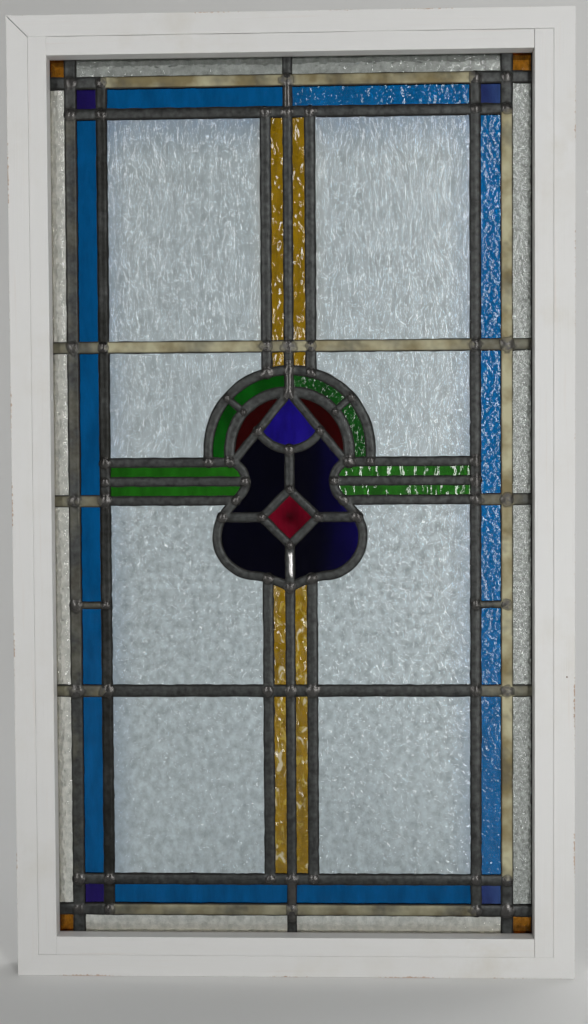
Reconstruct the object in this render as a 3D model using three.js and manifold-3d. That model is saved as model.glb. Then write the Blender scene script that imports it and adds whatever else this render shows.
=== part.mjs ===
// A leaded stained glass window in a white painted wooden frame.
// Units are millimetres. X runs across the window and Z up, and the side with the glazing stops looks to -Y.
// The origin is the middle of the frame's underside, where the frame sits on a sill.

import * as THREE from "three";
import { mergeVertices } from "three/addons/utils/BufferGeometryUtils.js";
import Module from "manifold-3d";

// Wooden frame
const frameWidth = 504;
const frameHeight = 864;
const frameDepth = 38;
const boardFace = 19; // face of each board, from its outer edge to the rebate
const stopFace = 17; // face of each glazing stop, and of the board's lip behind it
const arris = 0.8; // small chamfer on the edges that show
const woodGap = 0.3; // paint line between two pieces of wood

// Leaded panel in the rebate
const panelClearance = 4.3; // all round, between the panel's edge and the boards
const panelShift = -2.4; // the panel sits this far off the frame's middle
const bedding = 0.3; // putty line between the panel and the wood on either side
const glassThickness = 3;
const glassBed = 0.3; // cement between the glass and each leaf of a came
const glassEdgeGap = 0.5; // between a pane's edge and the heart of the came
const heartThickness = 1.6;
const leafEdge = 0.5; // thickness of a leaf at its edge
const leafCrown = 0.7; // how far the leaf swells towards its middle
const crownShare = 0.55; // share of a came's width that is its flat crown

// Came widths
const edgeCame = 12.7;
const flatCame = 10;
const roundCame = 9;
const motifCame = 8;
const outlineCame = 7.4;
const jewelCame = 6.8;
const thinCame = 5.5;

// Border, from the heart of the edge came inwards
const clearPitch = 26.4;
const bluePitch = 28;

// Columns, bars and the green cross arms, from the middle of the panel
const columnPitch = 20; // centre came to the came on each side of the amber strips
const armHeight = 16.4;
const armPitch = 17.35;
const blueJoint = -96; // a joint low in each blue side strip
const barAboveArch = 21.6;
const barBelowCusp = 94;

// Arch over the motif
const archHeight = 43; // springing of the arch above the middle of the panel
const archRadius = 73.6;
const archBand = 19.4; // from the outer came to the inner one
const archFullness = 2.08; // 2 is a round arch, and more is fuller at the haunches
const archJointAngle = 41; // degrees above the level, where the green band is cut

// Fan under the arch
const fanDrop = 52; // from the top of the inner arch to the bottom of the fan
const fanRadius = 32;

// Waist and lobes of the motif
const waistIn = 39.7; // centre line to the narrowest point of the waist
const waistRadius = 19;
const lobeHalf = 66.3; // centre line to the widest point of a lobe
const lobeHeight = -34;
const lobeRadius = 35.5;
const lobeEnd = -85; // degrees, where the lobe turns into the ogee
const cuspHeight = -80.5;

// Jewel in the middle of the motif
const jewelHeight = -16.3;
const jewelHalf = 25.4;

const arcStep = 14; // degrees between two points of a curved came
const weld = 1e-4; // points of a mesh that lie closer than this are one

// Places that follow from the sizes above
const panelMiddle = frameHeight / 2;
const heartX = frameWidth / 2 - boardFace - panelClearance - edgeCame / 2;
const heartZ = frameHeight / 2 - boardFace - panelClearance - edgeCame / 2;
const borderX = heartX - clearPitch;
const borderZ = heartZ - clearPitch;
const innerX = borderX - bluePitch;
const innerZ = borderZ - bluePitch;
const armTop = armHeight + armPitch;
const armLow = armHeight - armPitch;
const innerArchRadius = archRadius - archBand;
const barTop = archHeight + archRadius + barAboveArch;
const barLow = cuspHeight - barBelowCusp;
const fanBottom = archHeight + innerArchRadius - fanDrop;
const channelHalf = glassThickness / 2 + glassBed;
const heartReach = channelHalf + leafEdge / 2;
const leafFace = channelHalf + leafEdge + leafCrown;
const rebateFace = leafFace + bedding;

const { degToRad, radToDeg } = THREE.MathUtils;
const point = (x, z) => new THREE.Vector2(x, z);
const between = (a, b, share = 0.5) => a.clone().lerp(b, share);
const mirrored = (path) => path.map((p) => point(-p.x, p.y));
const reversed = (path) => [...path].reverse();

// A path that ends on the centre line, carried on over it by its mirror image
const whole = (path) => [...path, ...reversed(mirrored(path)).slice(1)];

const onCircle = (centre, radius, angle) =>
  point(
    centre.x + radius * Math.cos(degToRad(angle)),
    centre.y + radius * Math.sin(degToRad(angle)),
  );
const angleFrom = (centre, p) =>
  radToDeg(Math.atan2(p.y - centre.y, p.x - centre.x));

function sampled(place, from, to) {
  const steps = Math.max(2, Math.ceil(Math.abs(to - from) / arcStep));
  return Array.from({ length: steps + 1 }, (_, i) =>
    place(from + ((to - from) * i) / steps),
  );
}
const arc = (centre, radius, from, to) =>
  sampled((angle) => onCircle(centre, radius, angle), from, to);

// Where a path crosses a given x or a given height
function crossing(path, axis, value) {
  const i = path.findIndex(
    (p, n) => n > 0 && (path[n - 1][axis] - value) * (p[axis] - value) <= 0,
  );
  const [a, b] = [path[i - 1], path[i]];
  return between(a, b, (value - a[axis]) / (b[axis] - a[axis]));
}

// Right half of the motif's lines. The left half is its mirror image.
function onArch(radius, angle) {
  const power = 2 / archFullness;
  const across = Math.abs(Math.cos(degToRad(angle))) ** power;
  const up = Math.abs(Math.sin(degToRad(angle))) ** power;
  return point(radius * across, archHeight + radius * up);
}
const archFrom = (radius) => [
  point(radius, armTop),
  ...sampled((angle) => onArch(radius, angle), 0, 90),
];
const outerArch = archFrom(archRadius);
const innerArch = archFrom(innerArchRadius);
const archJoint = [
  onArch(innerArchRadius, archJointAngle),
  onArch(archRadius, archJointAngle),
];
const apex = innerArch.at(-1);
const columnOnArch = crossing(outerArch, "x", columnPitch);

const waistCentre = point(waistIn + waistRadius, armHeight);
const lobeCentre = point(lobeHalf - lobeRadius, lobeHeight);
const cusp = point(0, cuspHeight);
const foot = point(
  waistCentre.x - Math.sqrt(waistRadius ** 2 - armPitch ** 2),
  armTop,
);

// The straight stretch between waist and lobe is the line that touches both circles.
function tangentBetween(a, radiusA, b, radiusB) {
  const apart = b.clone().sub(a);
  const turn = Math.acos((radiusA + radiusB) / apart.length());
  const across = apart.normalize().rotateAround(point(0, 0), -turn);
  return [
    a.clone().addScaledVector(across, radiusA),
    b.clone().addScaledVector(across, -radiusB),
  ];
}
const [waistEnd, lobeStart] = tangentBetween(
  waistCentre,
  waistRadius,
  lobeCentre,
  lobeRadius,
);

// The ogee leaves the lobe along its tangent and bends the other way, down to the cusp.
const ogeeStart = onCircle(lobeCentre, lobeRadius, lobeEnd);
const ogeeOut = ogeeStart.clone().sub(lobeCentre).normalize();
const ogeeSpan = ogeeStart.clone().sub(cusp);
const ogeeRadius = -ogeeSpan.lengthSq() / (2 * ogeeOut.dot(ogeeSpan));
const ogeeCentre = ogeeStart.clone().addScaledVector(ogeeOut, ogeeRadius);

const waist = arc(
  waistCentre,
  waistRadius,
  angleFrom(waistCentre, foot),
  360 + angleFrom(waistCentre, waistEnd),
);
const lobe = arc(
  lobeCentre,
  lobeRadius,
  angleFrom(lobeCentre, lobeStart),
  lobeEnd,
);
const ogee = arc(
  ogeeCentre,
  ogeeRadius,
  angleFrom(ogeeCentre, ogeeStart),
  angleFrom(ogeeCentre, cusp),
);
const outline = [...waist, ...lobe, ...ogee.slice(1)];
const armOnWaist = (z) => crossing(outline, "y", z);
const jewelOnLobe = crossing(outline, "y", jewelHeight);
const columnOnOgee = crossing(reversed(outline), "x", columnPitch);

const jewelTop = point(0, jewelHeight + jewelHalf);
const jewelSide = point(jewelHalf, jewelHeight);
const jewelBottom = point(0, jewelHeight - jewelHalf);

// The fan's rounded bottom, from the slanting came round to the centre line
const fanCentre = point(0, fanBottom + fanRadius);
function fanOnSlant() {
  const slant = foot.clone().sub(apex);
  const from = apex.clone().sub(fanCentre);
  const a = slant.lengthSq();
  const b = from.dot(slant);
  const c = from.lengthSq() - fanRadius ** 2;
  return between(apex, foot, (-b + Math.sqrt(b * b - a * c)) / a);
}
const fan = arc(fanCentre, fanRadius, angleFrom(fanCentre, fanOnSlant()), -90);

// Solids
const wasm = await Module();
wasm.setup();

function toSolid(geometry) {
  const bare = geometry.index ? geometry.toNonIndexed() : geometry.clone();
  bare.deleteAttribute("normal");
  bare.deleteAttribute("uv");
  const merged = mergeVertices(bare, weld);
  return new wasm.Manifold(
    new wasm.Mesh({
      numProp: 3,
      vertProperties: merged.attributes.position.array,
      triVerts: new Uint32Array(merged.index.array),
    }),
  );
}

function toGeometry(solid) {
  const { vertProperties, triVerts } = solid.getMesh();
  return new THREE.BufferGeometry()
    .setAttribute("position", new THREE.BufferAttribute(vertProperties, 3))
    .setIndex(new THREE.BufferAttribute(triVerts, 1));
}

// Sweeps a section along a path in the plane of the window, with mitred bends.
// The section is a list of [across, depth] pairs, and across counts to the left of the way the path runs.
// runOn says how far each point of the section runs on past the path's two ends.
function sweep(section, path, { closed = false, runOn = () => 0 } = {}) {
  const count = path.length;
  const size = section.length;
  const way = (i, j) => path[j].clone().sub(path[i]).normalize();
  const positions = path.flatMap((p, i) => {
    const first = i === 0 && !closed;
    const last = i === count - 1 && !closed;
    const incoming = first ? way(0, 1) : way((i + count - 1) % count, i);
    const outgoing = last ? incoming : way(i, (i + 1) % count);
    const heading = incoming.clone().add(outgoing).normalize();
    const stretch = 1 / heading.dot(incoming);
    const end = (last ? 1 : 0) - (first ? 1 : 0);
    return section.flatMap(([across, depth]) => [
      p.x - heading.y * stretch * across + heading.x * end * runOn(across),
      depth,
      p.y + heading.x * stretch * across + heading.y * end * runOn(across),
    ]);
  });
  const index = (ring, k) => (ring % count) * size + (k % size);
  const faces = [];
  for (let ring = 0; ring < (closed ? count : count - 1); ring++)
    for (let k = 0; k < size; k++)
      faces.push(
        [index(ring, k), index(ring + 1, k), index(ring + 1, k + 1)],
        [index(ring, k), index(ring + 1, k + 1), index(ring, k + 1)],
      );
  const corners = section.map(([across, depth]) => point(across, depth));
  const caps = closed ? [] : THREE.ShapeUtils.triangulateShape(corners, []);
  for (const [a, b, c] of caps) {
    faces.push([a, b, c]);
    faces.push([index(count - 1, c), index(count - 1, b), index(count - 1, a)]);
  }
  return new THREE.BufferGeometry()
    .setAttribute(
      "position",
      new THREE.BufferAttribute(new Float32Array(positions), 3),
    )
    .setIndex(faces.flat());
}

// Lengths of came, each with its path, its width and the paths of its heart.
// A came without a heart lies over a long strip of glass that runs on under it.
const cames = [];
function came(width, path, { closed = false, hearts = [path] } = {}) {
  cames.push({ width, path, closed, hearts });
}
function pair(width, path, options) {
  came(width, path, options);
  came(width, mirrored(path), options);
}
const overGlass = { hearts: [] };

function layBorder() {
  const ring = [point(heartX, heartZ), point(-heartX, heartZ)];
  came(edgeCame, [...ring, point(-heartX, -heartZ), point(heartX, -heartZ)], {
    closed: true,
  });
  pair(flatCame, [point(borderX, -heartZ), point(borderX, heartZ)]);
  pair(roundCame, [point(innerX, -borderZ), point(innerX, borderZ)]);
  for (const side of [1, -1]) {
    const outer = [point(-heartX, side * borderZ), point(heartX, side * borderZ)];
    const inner = [point(-borderX, side * innerZ), point(borderX, side * innerZ)];
    came(flatCame, outer);
    came(roundCame, inner);
    came(motifCame, [point(0, side * heartZ), side > 0 ? apex : cusp]);
  }
}

function layBars() {
  const beside = (z) => [point(columnPitch, z), point(innerX, z)];
  came(flatCame, [point(-innerX, barTop), point(innerX, barTop)], {
    hearts: [beside(barTop), mirrored(beside(barTop))],
  });
  came(flatCame, [point(-innerX, barLow), point(innerX, barLow)]);
  for (const z of [barTop, barLow, armLow])
    pair(flatCame, [point(innerX, z), point(heartX, z)], overGlass);
  pair(thinCame, [point(innerX, blueJoint), point(borderX, blueJoint)], overGlass);
  pair(roundCame, [point(columnPitch, innerZ), columnOnArch]);
  pair(roundCame, [point(columnPitch, -innerZ), columnOnOgee]);
}

function layMotif() {
  came(motifCame, whole(outerArch));
  came(roundCame, whole(innerArch));
  pair(thinCame, archJoint);
  came(jewelCame, whole([foot, apex]));
  came(jewelCame, whole(fan));
  came(outlineCame, whole(outline));
  pair(motifCame, [point(innerX, armTop), foot]);
  for (const z of [armHeight, armLow])
    pair(motifCame, [point(innerX, z), armOnWaist(z)]);
  came(motifCame, [point(0, fanBottom), jewelTop]);
  const jewel = [jewelTop, jewelSide, jewelBottom, ...mirrored([jewelSide])];
  came(jewelCame, jewel, { closed: true });
  pair(motifCame, [jewelSide, jewelOnLobe]);
  came(motifCame, [jewelBottom, cusp]);
}

layBorder();
layBars();
layMotif();

// A came's leaf on the glazing side, from its edge over the crown to its other edge
const leafSection = (width) => [
  [-width / 2, channelHalf],
  [width / 2, channelHalf],
  [width / 2, channelHalf + leafEdge],
  [(width * crownShare) / 2, leafFace],
  [(-width * crownShare) / 2, leafFace],
  [-width / 2, channelHalf + leafEdge],
];
const heartSection = (half) => [
  [-half, -heartReach],
  [half, -heartReach],
  [half, heartReach],
  [-half, heartReach],
];
const turnedOver = (section) => section.map(([across, depth]) => [-across, -depth]);

const join = (solids) => solids.reduce((all, solid) => all.add(solid));
const heartsOf = (half) =>
  cames.flatMap(({ hearts, closed }) =>
    hearts.map((path) => toSolid(sweep(heartSection(half), path, { closed }))),
  );
const leavesOf = ({ width, path, closed }) =>
  [leafSection(width), turnedOver(leafSection(width))].map((section) =>
    toSolid(sweep(section, path, { closed })),
  );

const leadNet = join([
  ...heartsOf(heartThickness / 2),
  ...cames.flatMap(leavesOf),
]);

// The glass is one sheet, parted along the hearts of the cames with a little room beside each.
function cutGlass() {
  const sheet = new THREE.BoxGeometry(2 * heartX, glassThickness, 2 * heartZ);
  const cuts = join(heartsOf(heartThickness / 2 + glassEdgeGap));
  return toSolid(sheet).subtract(cuts).decompose();
}

// Finish
const material = (color, roughness, metalness = 0, opacity = 1) =>
  new THREE.MeshStandardMaterial({
    color,
    roughness,
    metalness,
    opacity,
    transparent: opacity < 1,
  });
const paint = material(0xd0d1d0, 0.5);
const lead = material(0x5a5a5c, 0.45, 0.6);
const glass = (color) => material(color, 0.15, 0, 0.75);
const clearGlass = glass(0xb2bcc8);
const amberGlass = glass(0xb3820c);
const cornerGlass = glass(0xd8841a);
const blueGlass = glass(0x154f98);
const purpleGlass = glass(0x3c2c86);
const greenGlass = glass(0x1b6c18);
const redGlass = glass(0x560808);
const violetGlass = glass(0x3a2590);
const navyGlass = glass(0x0b0b26);
const rubyGlass = glass(0x7c1430);

function named(name, geometry, finish) {
  const mesh = new THREE.Mesh(geometry, finish);
  mesh.name = name;
  return mesh;
}

// Wood
const front = -frameDepth / 2;
const back = frameDepth / 2;

// A rebated board, seen in section from its outer edge inwards
const boardSection = [
  [arris, front],
  [boardFace - arris, front],
  [boardFace, front + arris],
  [boardFace, rebateFace],
  [boardFace + stopFace, rebateFace],
  [boardFace + stopFace, back - arris],
  [boardFace + stopFace - arris, back],
  [arris, back],
  [0, back - arris],
  [0, front + arris],
];
const stopSection = [
  [boardFace + woodGap + arris, front],
  [boardFace + stopFace - arris, front],
  [boardFace + stopFace, front + arris],
  [boardFace + stopFace, -rebateFace],
  [boardFace + woodGap, -rebateFace],
  [boardFace + woodGap, front + arris],
];

function makeFrame() {
  const half = frameWidth / 2;
  const corners = [
    point(-half, 0),
    point(half, 0),
    point(half, frameHeight),
    point(-half, frameHeight),
  ];
  const sides = ["bottom", "right", "top", "left"];
  return sides.flatMap((side, i) => {
    const path = [corners[i], corners[(i + 1) % corners.length]];
    const upright = side === "left" || side === "right";
    const mitre = (across) => -across - woodGap * Math.SQRT1_2;
    const butt = () => -woodGap - boardFace - (upright ? 0 : stopFace);
    return [
      named(`frame_board_${side}`, sweep(boardSection, path, { runOn: mitre }), paint),
      named(`glazing_stop_${side}`, sweep(stopSection, path, { runOn: butt }), paint),
    ];
  });
}

// Panes by name, each with its glass and a place inside it on the panel
function paneList() {
  const list = [];
  const pane = (name, finish, x, z) => list.push({ name, finish, at: point(x, z) });
  const twice = (name, finish, x, z) => {
    pane(`${name}_left`, finish, -x, z);
    pane(`${name}_right`, finish, x, z);
  };
  const middle = (...values) => values.reduce((a, b) => a + b) / values.length;
  const clearX = middle(heartX, borderX);
  const blueX = middle(borderX, innerX);
  for (const [level, side] of Object.entries({ top: 1, bottom: -1 })) {
    const clearZ = side * middle(heartZ, borderZ);
    const blueZ = side * middle(borderZ, innerZ);
    twice(`glass_corner_amber_${level}`, cornerGlass, clearX, clearZ);
    twice(`glass_border_clear_${level}`, clearGlass, innerX / 2, clearZ);
    twice(`glass_corner_purple_${level}`, purpleGlass, blueX, blueZ);
    twice(`glass_border_blue_${level}`, blueGlass, innerX / 2, blueZ);
  }
  twice("glass_border_clear_side", clearGlass, clearX, 0);
  twice("glass_border_blue_side", blueGlass, blueX, 0);

  const paneX = middle(columnPitch, innerX);
  const columnX = columnPitch / 2;
  twice("glass_clear_top", clearGlass, paneX, middle(innerZ, barTop));
  twice("glass_clear_upper", clearGlass, middle(archRadius, innerX), middle(armTop, barTop));
  twice("glass_clear_lower", clearGlass, middle(lobeHalf, innerX), middle(armLow, barLow));
  twice("glass_clear_bottom", clearGlass, paneX, middle(-innerZ, barLow));
  twice("glass_column_top", amberGlass, columnX, middle(innerZ, barTop));
  twice("glass_column_lower", amberGlass, columnX, middle(cuspHeight, barLow));
  twice("glass_column_bottom", amberGlass, columnX, middle(-innerZ, barLow));

  const armX = middle(innerX, waistIn + waistRadius);
  const band = archRadius - archBand / 2;
  const haunch = onArch(band, middle(0, archJointAngle));
  const crown = onArch(band, middle(90, archJointAngle));
  const slant = between(foot, apex);
  const red = between(slant, innerArch.at(Math.floor(innerArch.length / 2)));
  twice("glass_arm_green_top", greenGlass, armX, middle(armTop, armHeight));
  twice("glass_arm_green_low", greenGlass, armX, middle(armHeight, armLow));
  twice("glass_arch_green_haunch", greenGlass, haunch.x, haunch.y);
  twice("glass_arch_green_crown", greenGlass, crown.x, crown.y);
  twice("glass_arch_red", redGlass, red.x, red.y);
  pane("glass_fan_violet", violetGlass, 0, middle(fanBottom, apex.y));
  twice("glass_motif_navy_upper", navyGlass, waistIn / 2, armHeight);
  twice("glass_motif_navy_lower", navyGlass, lobeHalf / 2, middle(jewelHeight, cuspHeight));
  pane("glass_jewel_ruby", rubyGlass, 0, jewelHeight);
  return list;
}

function makeGlass() {
  const pieces = cutGlass().map((solid) => named("", toGeometry(solid), clearGlass));
  const through = new THREE.Vector3(0, 1, 0);
  return paneList().map(({ name, finish, at }) => {
    const ray = new THREE.Raycaster(new THREE.Vector3(at.x, -frameDepth, at.y), through);
    const [hit] = ray.intersectObjects(pieces);
    return named(name, hit.object.geometry, finish);
  });
}

const stainedGlassWindow = new THREE.Group();
const panel = new THREE.Group();
panel.position.set(panelShift, 0, panelMiddle);
panel.add(named("lead_cames", toGeometry(leadNet), lead), ...makeGlass());
stainedGlassWindow.add(...makeFrame(), panel);

export default stainedGlassWindow;
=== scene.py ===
# A leaded stained glass window in a white painted wooden frame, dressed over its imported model.
# Units are metres. X runs across the window and Z up, and the side with the glazing stops looks to -Y.
# A place on the leaded panel is a complex number, across to the right and up from the panel's middle.

import math
from typing import NamedTuple

import bpy
import numpy as np
from bpy.props import FloatProperty, FloatVectorProperty, IntProperty, PointerProperty
from mathutils import Euler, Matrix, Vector
from mathutils.geometry import delaunay_2d_cdt


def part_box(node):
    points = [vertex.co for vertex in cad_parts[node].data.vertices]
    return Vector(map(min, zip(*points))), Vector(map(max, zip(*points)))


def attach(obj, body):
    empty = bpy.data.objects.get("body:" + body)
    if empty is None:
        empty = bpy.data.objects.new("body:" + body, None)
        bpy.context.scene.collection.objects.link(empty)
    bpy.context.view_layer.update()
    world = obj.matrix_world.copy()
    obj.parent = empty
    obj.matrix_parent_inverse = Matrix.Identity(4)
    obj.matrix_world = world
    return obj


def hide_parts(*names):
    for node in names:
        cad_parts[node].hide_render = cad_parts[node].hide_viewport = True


bl_info = {
    "name": "Leaded Window",
    "version": (1, 0, 0),
    "blender": (4, 5, 0),
    "location": "3D View > Sidebar > Leaded Window",
    "description": "Glass with a rolled face, lead cames, solder and a painted frame for a leaded window",
    "category": "Add Mesh",
}

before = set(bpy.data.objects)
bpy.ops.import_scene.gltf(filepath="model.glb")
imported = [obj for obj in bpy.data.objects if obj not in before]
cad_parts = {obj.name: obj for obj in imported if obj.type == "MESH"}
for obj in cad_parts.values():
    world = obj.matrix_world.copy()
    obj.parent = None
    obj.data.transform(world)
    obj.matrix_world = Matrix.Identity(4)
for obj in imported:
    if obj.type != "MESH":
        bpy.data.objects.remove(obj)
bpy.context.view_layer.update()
BODY = "root"
MM = 0.001
X, Y, Z = range(3)

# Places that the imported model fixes
LEAD_LOW, LEAD_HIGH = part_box("lead_cames")
PANEL = [(low + high) / 2 for low, high in zip(LEAD_LOW, LEAD_HIGH)]
PANEL_MIDDLE = complex(PANEL[X], PANEL[Z])
GLASS_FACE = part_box("glass_jewel_ruby")[1][Y]
BOARD_LOW, BOARD_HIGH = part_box("frame_board_left")
HALF_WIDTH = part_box("frame_board_right")[1][X]
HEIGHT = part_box("frame_board_top")[1][Z]
STOP_LOW, STOP_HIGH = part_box("glazing_stop_left")
BOARD_FACE = STOP_LOW[X] - BOARD_LOW[X]
SIGHT_EDGE = STOP_HIGH[X] - BOARD_LOW[X]
FRAME_FRONT = BOARD_LOW[Y]
FRAME_BACK = BOARD_HIGH[Y]
REBATE_FACE = -STOP_HIGH[Y]

# Fineness of the meshes
ARC_STEP = 2.6 * MM
MERGE = 1e-7
NOISE_CELLS = 512
FRONT_LEAD_STEP = 3 * MM
BACK_LEAD_STEP = 4.5 * MM
LEAD_SPACING = 0.8 * MM
JOINT_POINTS = 14
TIMBER_STEP = 7 * MM


def millimetres(name, description, size):
    """A length that a user can change, with its default given in millimetres."""
    return FloatProperty(name=name, description=description, default=size * MM, unit="LENGTH", precision=5)


def metres(name, description, size):
    """A length of the room that a user can change, with its default given in metres."""
    return FloatProperty(name=name, description=description, default=size, unit="LENGTH")


def light_power(name, description, watts):
    """The power of a light, in watts."""
    return FloatProperty(name=name, description=description, default=watts, unit="POWER")


def swatch(name, description, *levels):
    """A colour that a user can change, with its default given as red, green and blue from 0 to 255."""
    shares = [level / 255 for level in levels]
    linear = [s / 12.92 if s <= 0.04045 else ((s + 0.055) / 1.055) ** 2.4 for s in shares]
    return FloatVectorProperty(
        name=name, description=description, default=linear, min=0, max=1, size=3, subtype="COLOR"
    )


class LeadSizes(bpy.types.PropertyGroup):
    """Widths and heights of the lead."""

    edge_came: millimetres("Edge came", "Width of the came round the panel", 10.4)
    edge_came_left: millimetres("Left edge came", "Width of the came at the panel's left edge", 7.2)
    flat_came: millimetres("Flat came", "Width of the border cames and the bars", 10)
    round_came: millimetres("Round came", "Width of the inner border, columns and inner arch", 9)
    motif_came: millimetres("Motif came", "Width of the outer arch, the arms and the centre line", 8)
    outline_came: millimetres("Outline came", "Width of the came round waist and lobes", 7.4)
    jewel_came: millimetres("Jewel came", "Width of the cames round the jewel and the fan", 6.8)
    thin_came: millimetres("Thin came", "Width of the short cames across arch and side strips", 5.5)
    leaf_edge: millimetres("Leaf edge", "Thickness of a leaf at its edge", 0.5)
    leaf_crown: millimetres("Leaf crown", "How far a leaf swells towards its middle", 0.95)
    leaf_bed: millimetres("Leaf bed", "Cement between the glass and a leaf", 0.3)
    heart: millimetres("Heart", "Thickness of a came's heart", 1.6)
    wobble: millimetres("Wobble", "How far a came's edges stray", 0.32)
    solder_rise: millimetres("Solder rise", "How far a joint's solder stands over the leads", 1.25)
    solder_spread: millimetres("Solder spread", "How far solder runs out past half a came's width", 1.2)
    cement_line: millimetres("Cement line", "Dark cement showing beside each came", 0.55)


class MotifSizes(bpy.types.PropertyGroup):
    """Driving sizes of the arch, the lobes and the jewel, from the panel's middle."""

    arch_height: millimetres("Arch height", "Springing of the arch", 43)
    arch_radius: millimetres("Arch radius", "Radius of the outer arch", 73.6)
    arch_band: millimetres("Arch band", "From the outer came of the arch to the inner one", 19.4)
    arch_fullness: FloatProperty(
        name="Arch fullness", description="2 is a round arch and more is fuller", default=2.08
    )
    arch_joint: FloatProperty(
        name="Arch joint",
        description="Where the green band is cut, over the level",
        default=math.radians(41),
        subtype="ANGLE",
    )
    fan_drop: millimetres("Fan drop", "From the top of the inner arch to the bottom of the fan", 52)
    fan_radius: millimetres("Fan radius", "Radius of the fan's rounded bottom", 32)
    waist_in: millimetres("Waist", "Centre line to the narrowest point of the waist", 39.7)
    waist_radius: millimetres("Waist radius", "Radius of the waist's hollow", 19)
    lobe_half: millimetres("Lobe half", "Centre line to the widest point of a lobe", 66.3)
    lobe_height: millimetres("Lobe height", "Middle of the lobes", -34)
    lobe_radius: millimetres("Lobe radius", "Radius of a lobe", 35.5)
    lobe_end: FloatProperty(
        name="Lobe end",
        description="Where the lobe turns into the ogee",
        default=math.radians(-85),
        subtype="ANGLE",
    )
    cusp_height: millimetres("Cusp height", "Point where the two ogees meet", -80.5)
    jewel_height: millimetres("Jewel height", "Middle of the jewel", -16.3)
    jewel_half: millimetres("Jewel half", "Middle of the jewel to its corners", 25.4)
    blue_joint: millimetres("Blue joint", "Joint low in each blue side strip", -96)


class GlassSizes(bpy.types.PropertyGroup):
    """Fineness and relief of the glass."""

    step: millimetres("Step", "Distance between two points of a pane's face", 1.35)
    relief: FloatProperty(
        name="Relief", description="Share of the full depth of the rolled face", default=1
    )


class WindowColours(bpy.types.PropertyGroup):
    """Colours of paint, wood, lead and glass."""

    paint: swatch("Paint", "White paint of the frame", 209, 209, 208)
    paint_stain: swatch("Paint stain", "Handled and dusty paint", 194, 190, 180)
    bare_wood: swatch("Bare wood", "Softwood where paint has worn off", 192, 166, 146)
    lead: swatch("Lead", "Dull lead", 66, 68, 67)
    lead_dark: swatch("Dark lead", "Blackened lead", 38, 39, 38)
    oxide: swatch("Oxide", "Tan crust on the border cames", 176, 171, 140)
    oxide_dark: swatch("Dark oxide", "Brown crust on the border cames", 124, 112, 76)
    solder: swatch("Solder", "Solder at the joints", 74, 72, 70)
    # A painted highlight: near-white colour along the solder run under the jewel.
    painted_solder_highlight: swatch("Bright solder", "Scraped solder under the jewel", 250, 248, 246)
    cement: swatch("Cement", "Old glazing cement", 24, 23, 20)
    clear: swatch("Clear", "Clear glass", 213, 227, 233)
    # Painted light: the lit white reveal behind the glass, tinted into the outer half of the strips.
    clear_lit_reveal: swatch("Clear rim", "Palest clear glass, along the outer strips", 255, 248, 232)
    clear_side: swatch("Clear side", "Warmer clear glass of the left and bottom strips", 232, 236, 228)
    # On the top strips this greyer glass paints the shade under the top of the frame.
    clear_border: swatch("Clear border", "Greyer clear glass of the right strips", 184, 189, 185)
    orange: swatch("Orange", "Corner squares of the outer border", 162, 106, 28)
    purple: swatch("Purple", "Corner squares of the blue border", 44, 32, 112)
    blue: swatch("Blue", "Azure border strips", 9, 102, 168)
    # Painted light: a lighter copy of the azure for the right strips, which catch light from the right.
    blue_lit_right: swatch("Blue right", "Azure strips with a rippled face", 1, 112, 182)
    amber: swatch("Amber", "Golden column strips", 172, 135, 12)
    wisp: swatch("Wisp", "Pale wisps in the golden strips", 250, 238, 205)
    green: swatch("Green", "Cross bars", 40, 118, 28)
    green_arch: swatch("Arch green", "Panes of the arch band", 14, 88, 18)
    red: swatch("Red", "Panes under the arch", 54, 8, 8)
    violet: swatch("Violet", "Fan under the arch", 35, 24, 142)
    navy: swatch("Navy", "Panes of the motif", 7, 7, 22)
    ruby: swatch("Ruby", "Jewel", 122, 12, 36)


class StageSizes(bpy.types.PropertyGroup):
    """Room, lights and camera."""

    floor_radius: metres("Floor radius", "Flat part of the floor", 1.6)
    cove_radius: metres("Cove radius", "Sweep of floor into wall", 2.8)
    wall_height: metres("Wall height", "Top of the pale wall", 3.0)
    camera_place: FloatVectorProperty(
        name="Camera place",
        description="Where the camera stands",
        default=(0.0427, -1.2327, 0.4626),
        subtype="XYZ",
    )
    camera_turn: FloatVectorProperty(
        name="Camera turn",
        description="The camera's rotation",
        default=[math.radians(angle) for angle in (88.037, 0.337, 1.906)],
        subtype="EULER",
    )
    lens: FloatProperty(
        name="Lens", description="Focal length in millimetres, on a 36 mm high sensor", default=47.81
    )
    key_watts: light_power("Key light", "Tall softbox at the right", 18)
    fill_watts: light_power("Fill light", "Tall softbox at the left", 13.5)
    side_watts: light_power("Side light", "Softbox far to the right", 9)
    low_watts: light_power("Low light", "Small softbox low at the right", 0.8)
    top_watts: light_power("Top light", "Softbox overhead", 4)
    wall_watts: light_power("Wall light", "Softbox on the wall behind", 57)
    sky: FloatProperty(name="Sky", description="Brightness of the even light all round", default=0.09)
    floor_colour: swatch("Floor colour", "Pale floor and wall", 226, 226, 224)
    seed: IntProperty(name="Seed", description="Start of every seeded pattern", default=11)


# Seeded noise


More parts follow.
